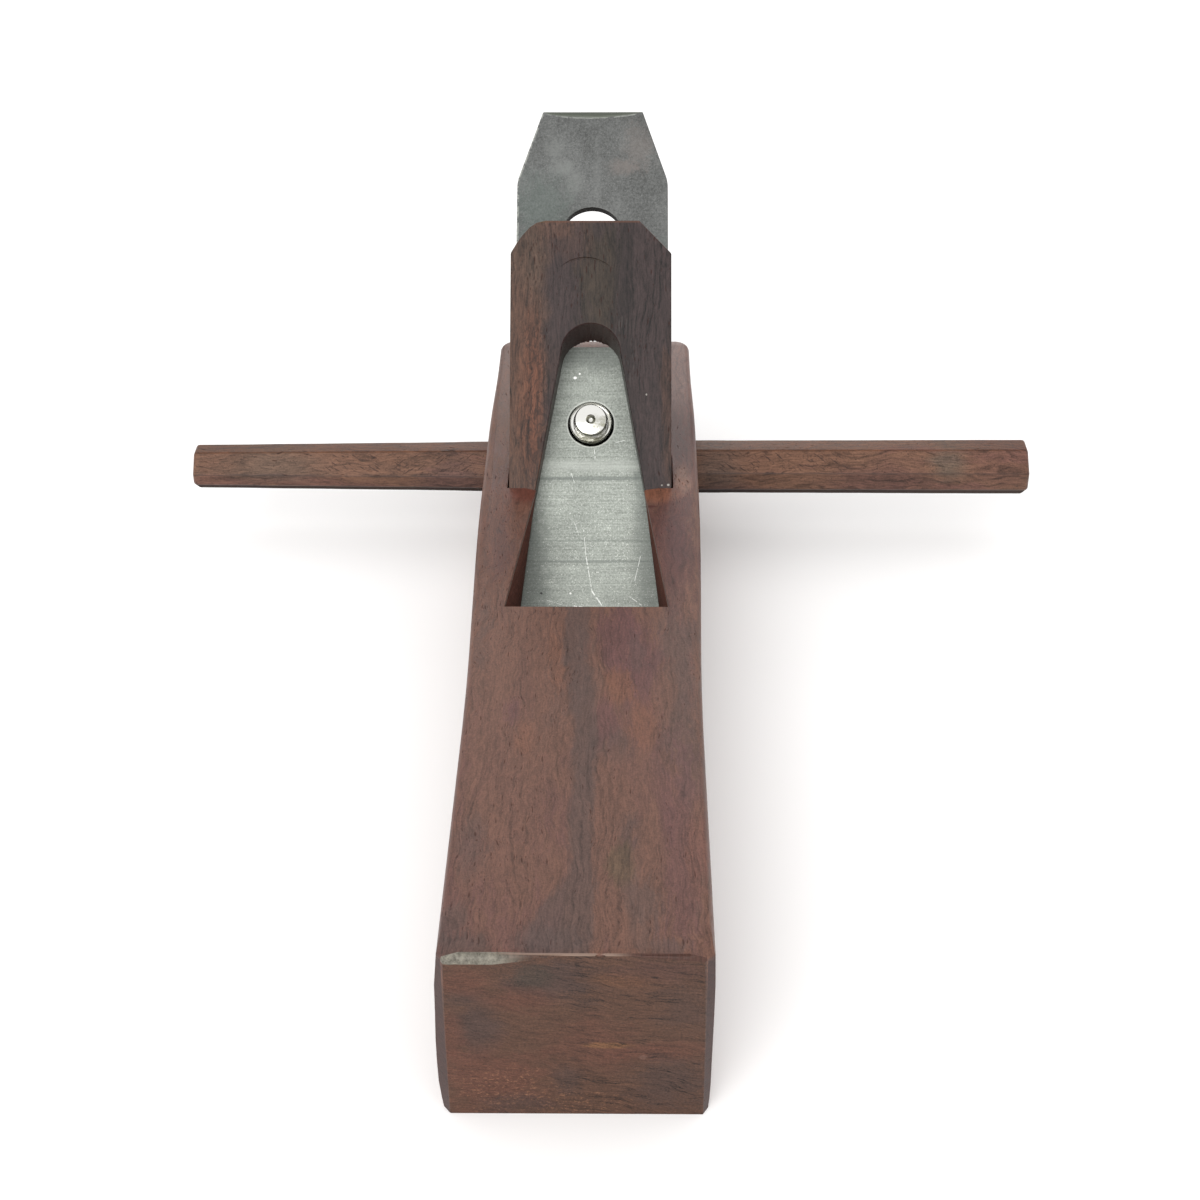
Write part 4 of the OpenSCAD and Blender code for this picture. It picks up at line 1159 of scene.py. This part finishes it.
colour = patched(tree, flat, 0.0, colour, (
    (21.7, -12.3, 0.35, 0.3, (0.38, 0.36, 0.33), 0.8), (19.9, -12.4, 0.25, 0.22, (0.38, 0.36, 0.33), 0.6),
    (15.6, 13.0, 0.22, 0.28, (0.35, 0.33, 0.30), 0.7)), 0.3)
# the scribed arc is dark
from_mark = vector_calc(tree, "DISTANCE", flat, (*MARK_CENTRE, 0), output="Value")
marked = product(tree, between(tree, from_mark, MARK_RADIUS - 0.16, MARK_RADIUS + 0.16, 0.12),
                 span(tree, up, 49.3, 49.5), span(tree, off, 20.0, 20.5), 0.92)
colour = blend(tree, marked, colour, (0.008, 0.006, 0.006, 1))
# painted shade: the arch's wall is dark; a lighter strip runs along the top arris, and the clipped corners get a
# painted highlight
arch_away = vector_calc(tree, "DISTANCE", flat, (0, ARCH_U, 0), output="Value")
wall = product(tree, span(tree, arch_away, ARCH_RADIUS + 0.25, ARCH_RADIUS + 0.1), span(tree, up, ARCH_U - 2, ARCH_U), 0.7)
colour = blend(tree, wall, colour, (0.030, 0.011, 0.010, 1))
clipped = calc(tree, "MULTIPLY_ADD", calc(tree, "ABSOLUTE", total(tree, across, -0.4)), 1.033, up)
clipped = product(tree, span(tree, clipped, 75.6, 75.9), span(tree, across, 0.0, 1.0))
top_strip_and_corner_highlight = calc(tree, "MAXIMUM", span(tree, up, WEDGE_TOP_U - 0.9, WEDGE_TOP_U - 0.5), clipped)
strip_and_highlight_colour = blend(tree, left_side, (0.100, 0.040, 0.022, 1), (0.100, 0.058, 0.024, 1))
colour = blend(tree, product(tree, top_strip_and_corner_highlight, 0.6), colour, strip_and_highlight_colour)
surface(tree, Base_Color=colour, Roughness=wood["Rough"], IOR=WOOD_IOR, Normal=bumped(tree, wood["Height"], 0.7, 0.1))
finished(wedge_shape, "forked_wedge", wedge_wood, "wedge_body", "wedge_wood", "wedge")

# The cross handle
# An eight-sided tapered bar of rosewood, planed by eye and driven through its mortise
# in the stock from the right until it binds. Its long arrises are barely eased.
HANDLE_LEFT = -120.7
HANDLE_RIGHT = 130.4
HANDLE_STATIONS = (-119.5, -33.7, 33.7, 129.2)
HANDLE_HEIGHTS = (12.3, 14.1, 14.9, 15.4)
HANDLE_FLAT = 1.22
TOP_SHARE = 0.34
SIDE_SHARE = 0.36
LEFT_SHARE = 0.17
HANDLE_AXIS = Vector((0, 95.0, 25.2))
HANDLE_STEP = 2.0
HANDLE_WAVER = 0.30
MORTISE_HALF = 36.0
HANDLE_END_EASE = 1.3 * MM
HANDLE_EASE = 0.45 * MM
HANDLE_TURN = (0, 0, math.radians(90))


def bar_tree():
    """A bar with a flattened eight-sided section that grows from station to station along it."""
    tree, given = named_tree("eight_sided_bar", ("Left", "Right", "Step", "Flat", "Top Share", "Side Share", "Waver"))
    start = wire(tree, "ShaderNodeCombineXYZ", {"X": given["Left"]}).outputs[0]
    end = wire(tree, "ShaderNodeCombineXYZ", {"X": given["Right"]}).outputs[0]
    path = wire(tree, "GeometryNodeCurvePrimitiveLine", {"Start": start, "End": end}).outputs[0]
    path = wire(tree, "GeometryNodeResampleCurve", {"Curve": path, "Length": given["Step"]}, mode="LENGTH").outputs[0]
    ring = wire(tree, "GeometryNodeCurvePrimitiveCircle", {"Resolution": 8, "Radius": 1.0}).outputs[0]
    ring = wire(tree, "GeometryNodeTransform", {"Geometry": ring, "Rotation": (0, 0, math.radians(22.5))}).outputs[0]
    corner = split(tree, wire(tree, "GeometryNodeInputPosition").outputs[0])
    wide = calc(tree, "GREATER_THAN", calc(tree, "ABSOLUTE", corner[0]), calc(tree, "ABSOLUTE", corner[1]))
    narrow = calc(tree, "SUBTRACT", 1.0, wide)
    side = calc(tree, "ADD", wide, calc(tree, "MULTIPLY", narrow, given["Top Share"]))
    level = calc(tree, "ADD", narrow, calc(tree, "MULTIPLY", wide, given["Side Share"]))
    side = calc(tree, "MULTIPLY", side, calc(tree, "MULTIPLY", given["Flat"], 0.5))
    corner_x = calc(tree, "MULTIPLY", calc(tree, "SIGN", corner[0]), side)
    corner_y = calc(tree, "MULTIPLY", calc(tree, "SIGN", corner[1]), calc(tree, "MULTIPLY", level, 0.5))
    shaped = wire(tree, "ShaderNodeCombineXYZ", {"X": corner_x, "Y": corner_y}).outputs[0]
    section = wire(tree, "GeometryNodeSetPosition", {"Geometry": ring, "Position": shaped}).outputs[0]
    along = split(tree, wire(tree, "GeometryNodeInputPosition").outputs[0])[0]
    height = HANDLE_HEIGHTS[0] * MM
    for i in range(3):
        grow = (HANDLE_HEIGHTS[i + 1] - HANDLE_HEIGHTS[i]) * MM
        made = wire(tree, "ShaderNodeMapRange", {"Value": along, "From Min": HANDLE_STATIONS[i] * MM,
                                                 "From Max": HANDLE_STATIONS[i + 1] * MM, "To Max": grow})
        height = calc(tree, "ADD", height, made.outputs[0])
    # the plane wavered a little outside the mortise, and only ever took wood away
    outside = span(tree, calc(tree, "ABSOLUTE", along), MORTISE_HALF * MM, (MORTISE_HALF + 8) * MM)
    waves = wire(tree, "ShaderNodeTexNoise", {"Vector": wire(tree, "GeometryNodeInputPosition").outputs[0],
                                              "Scale": 45.0, "Detail": 1.0}).outputs["Fac"]
    taken = calc(tree, "MULTIPLY", calc(tree, "MULTIPLY", waves, outside), given["Waver"])
    end_tree(tree, swept(tree, path, section, calc(tree, "SUBTRACT", height, taken)), given["Material"])
    return tree


handle_wood, tree = new_material("handle_rosewood")
handle_shape = grown(bar_tree(), handle_wood, Left=HANDLE_LEFT * MM, Right=HANDLE_RIGHT * MM, Step=HANDLE_STEP * MM,
                     Flat=HANDLE_FLAT, Top_Share=TOP_SHARE, Side_Share=SIDE_SHARE, Waver=HANDLE_WAVER * MM)
for corner in handle_shape.verts:
    # the left half's front facet was planed lower
    if corner.co.x < 0 and corner.co.y < 0 and corner.co.z > 0 and -corner.co.y > 1.5 * corner.co.z:
        corner.co.z *= LEFT_SHARE / SIDE_SHARE
end_edges = [e for e in handle_shape.edges
             if outer_arris(e) and any(all(abs(v.co.x / MM - end) < 0.1 for v in e.verts)
                                       for end in (HANDLE_LEFT, HANDLE_RIGHT))]
ease(handle_shape, end_edges, HANDLE_END_EASE, 5)
long_edges = [e for e in handle_shape.edges
              if outer_arris(e) and abs(e.verts[0].co.x - e.verts[1].co.x) > 0.9 * e.calc_length()]
ease(handle_shape, long_edges, HANDLE_EASE, 2)
for corner in handle_shape.verts:
    corner.co += HANDLE_AXIS * MM

place = piece_coordinates(tree)
x, y, z = split(tree, place)
flat = flat_place(tree, x, z)
wood = use(tree, rosewood, Grain=piece_coordinates(tree, HANDLE_TURN, (13.0, 0.0, 7.0)), Swirl=7.0, Curl=4.0,
           Lines=1.55, Pores=0.20)
fray = centred(tree, noise(tree, place, (0.07, 0.2, 0.3), 4.0, 0.7), 2.2)
colour = blend(tree, span(tree, wood["Zone"], 0.47, 0.40), (0.138, 0.070, 0.044, 1), (0.126, 0.060, 0.044, 1))
colour = patched(tree, flat, fray, colour, (
    (-95.0, 28.0, 14.0, 4.5, (0.078, 0.055, 0.040), 0.6), (-114.0, 31.0, 9.0, 5.0, (0.110, 0.055, 0.034), 0.5),
    (-62.0, 32.0, 24.0, 3.5, (0.122, 0.060, 0.036), 0.6), (-42.0, 25.0, 10.0, 5.0, (0.080, 0.042, 0.040), 0.6),
    (37.5, 27.0, 7.0, 6.0, (0.078, 0.056, 0.046), 0.6), (41.0, 21.0, 12.0, 3.0, (0.070, 0.036, 0.034), 0.6),
    (58.0, 31.0, 18.0, 4.0, (0.124, 0.060, 0.036), 0.6), (88.0, 25.0, 16.0, 5.0, (0.088, 0.040, 0.034), 0.6),
    (106.0, 29.5, 5.0, 3.6, (0.082, 0.064, 0.048), 0.7), (122.0, 30.0, 9.0, 6.0, (0.102, 0.046, 0.034), 0.5)), 0.6)
colour = figured(tree, wood, colour)
# painted shade: the front facet is darker below its edge, the bottom chamfer darker still and the top flat darker and
# warmer; a dark line runs along the facet's edge, and short slanted cracks cross the curly grain
half_height = calc(tree, "MINIMUM", calc(tree, "MULTIPLY_ADD", x, 0.01049, 7.404), calc(tree, "MULTIPLY_ADD", x, 0.00262, 7.362))
over_axis = calc(tree, "SUBTRACT", z, HANDLE_AXIS.z)
edge_share = calc(tree, "MULTIPLY_ADD", span(tree, x, -30.0, 30.0), SIDE_SHARE - LEFT_SHARE, LEFT_SHARE)
over_edge = calc(tree, "SUBTRACT", over_axis, product(tree, half_height, edge_share))
under_top = calc(tree, "SUBTRACT", half_height, over_axis)
under_share = calc(tree, "DIVIDE", over_axis, half_height)
tone = product(tree, calc(tree, "MULTIPLY_ADD", span(tree, over_edge, -0.1, 0.1), 0.18, 0.82),
               calc(tree, "MULTIPLY_ADD", span(tree, under_share, -0.45, -0.34), 0.75, 0.25))
colour = toned(tree, colour, tone)
# painted shade: the top flat is darkened to a warmer brown
top_flat_shade = span(tree, under_top, 0.45, 0.25)
colour = blend(tree, top_flat_shade, colour, blend(tree, 1.0, colour, (0.76, 0.64, 0.54, 1), "MULTIPLY"))
edge = product(tree, between(tree, over_edge, -0.16, 0.06, 0.12), span(tree, fray, -0.8, 0.2), 0.5)
cracks = 0.0
for start, end, slant in ((-80.0, -59.0, 0.5), (-58.0, -34.0, -0.45), (40.0, 74.0, 0.5)):
    slanted = flat_place(tree, x, calc(tree, "MULTIPLY_ADD", x, slant, z))
    run = product(tree, span(tree, noise(tree, slanted, (0.30, 1.9, 0.0), 2.0, 0.6), 0.58, 0.66),
                  between(tree, x, start, end, 4.0))
    cracks = calc(tree, "MAXIMUM", cracks, run)
cracks = product(tree, cracks, span(tree, over_edge, 0.0, 0.6), span(tree, under_top, 0.4, 1.0), 0.75)
pits = product(tree, span(tree, noise(tree, place, (1.1, 1.4, 1.4), 3.0, 0.7), 0.60, 0.66), 0.55)
dark = calc(tree, "MAXIMUM", calc(tree, "MAXIMUM", cracks, edge), pits)
colour = blend(tree, dark, colour, (0.022, 0.010, 0.008, 1))
rough = calc(tree, "MAXIMUM", wood["Rough"], span(tree, under_share, -0.34, -0.45))
surface(tree, Base_Color=colour, Roughness=rough, IOR=WOOD_IOR,
        Normal=bumped(tree, calc(tree, "SUBTRACT", wood["Height"], dark), 0.6, 0.1))
finished(handle_shape, "handle_bar", handle_wood, "handle_body", "handle_wood", "cross_handle")
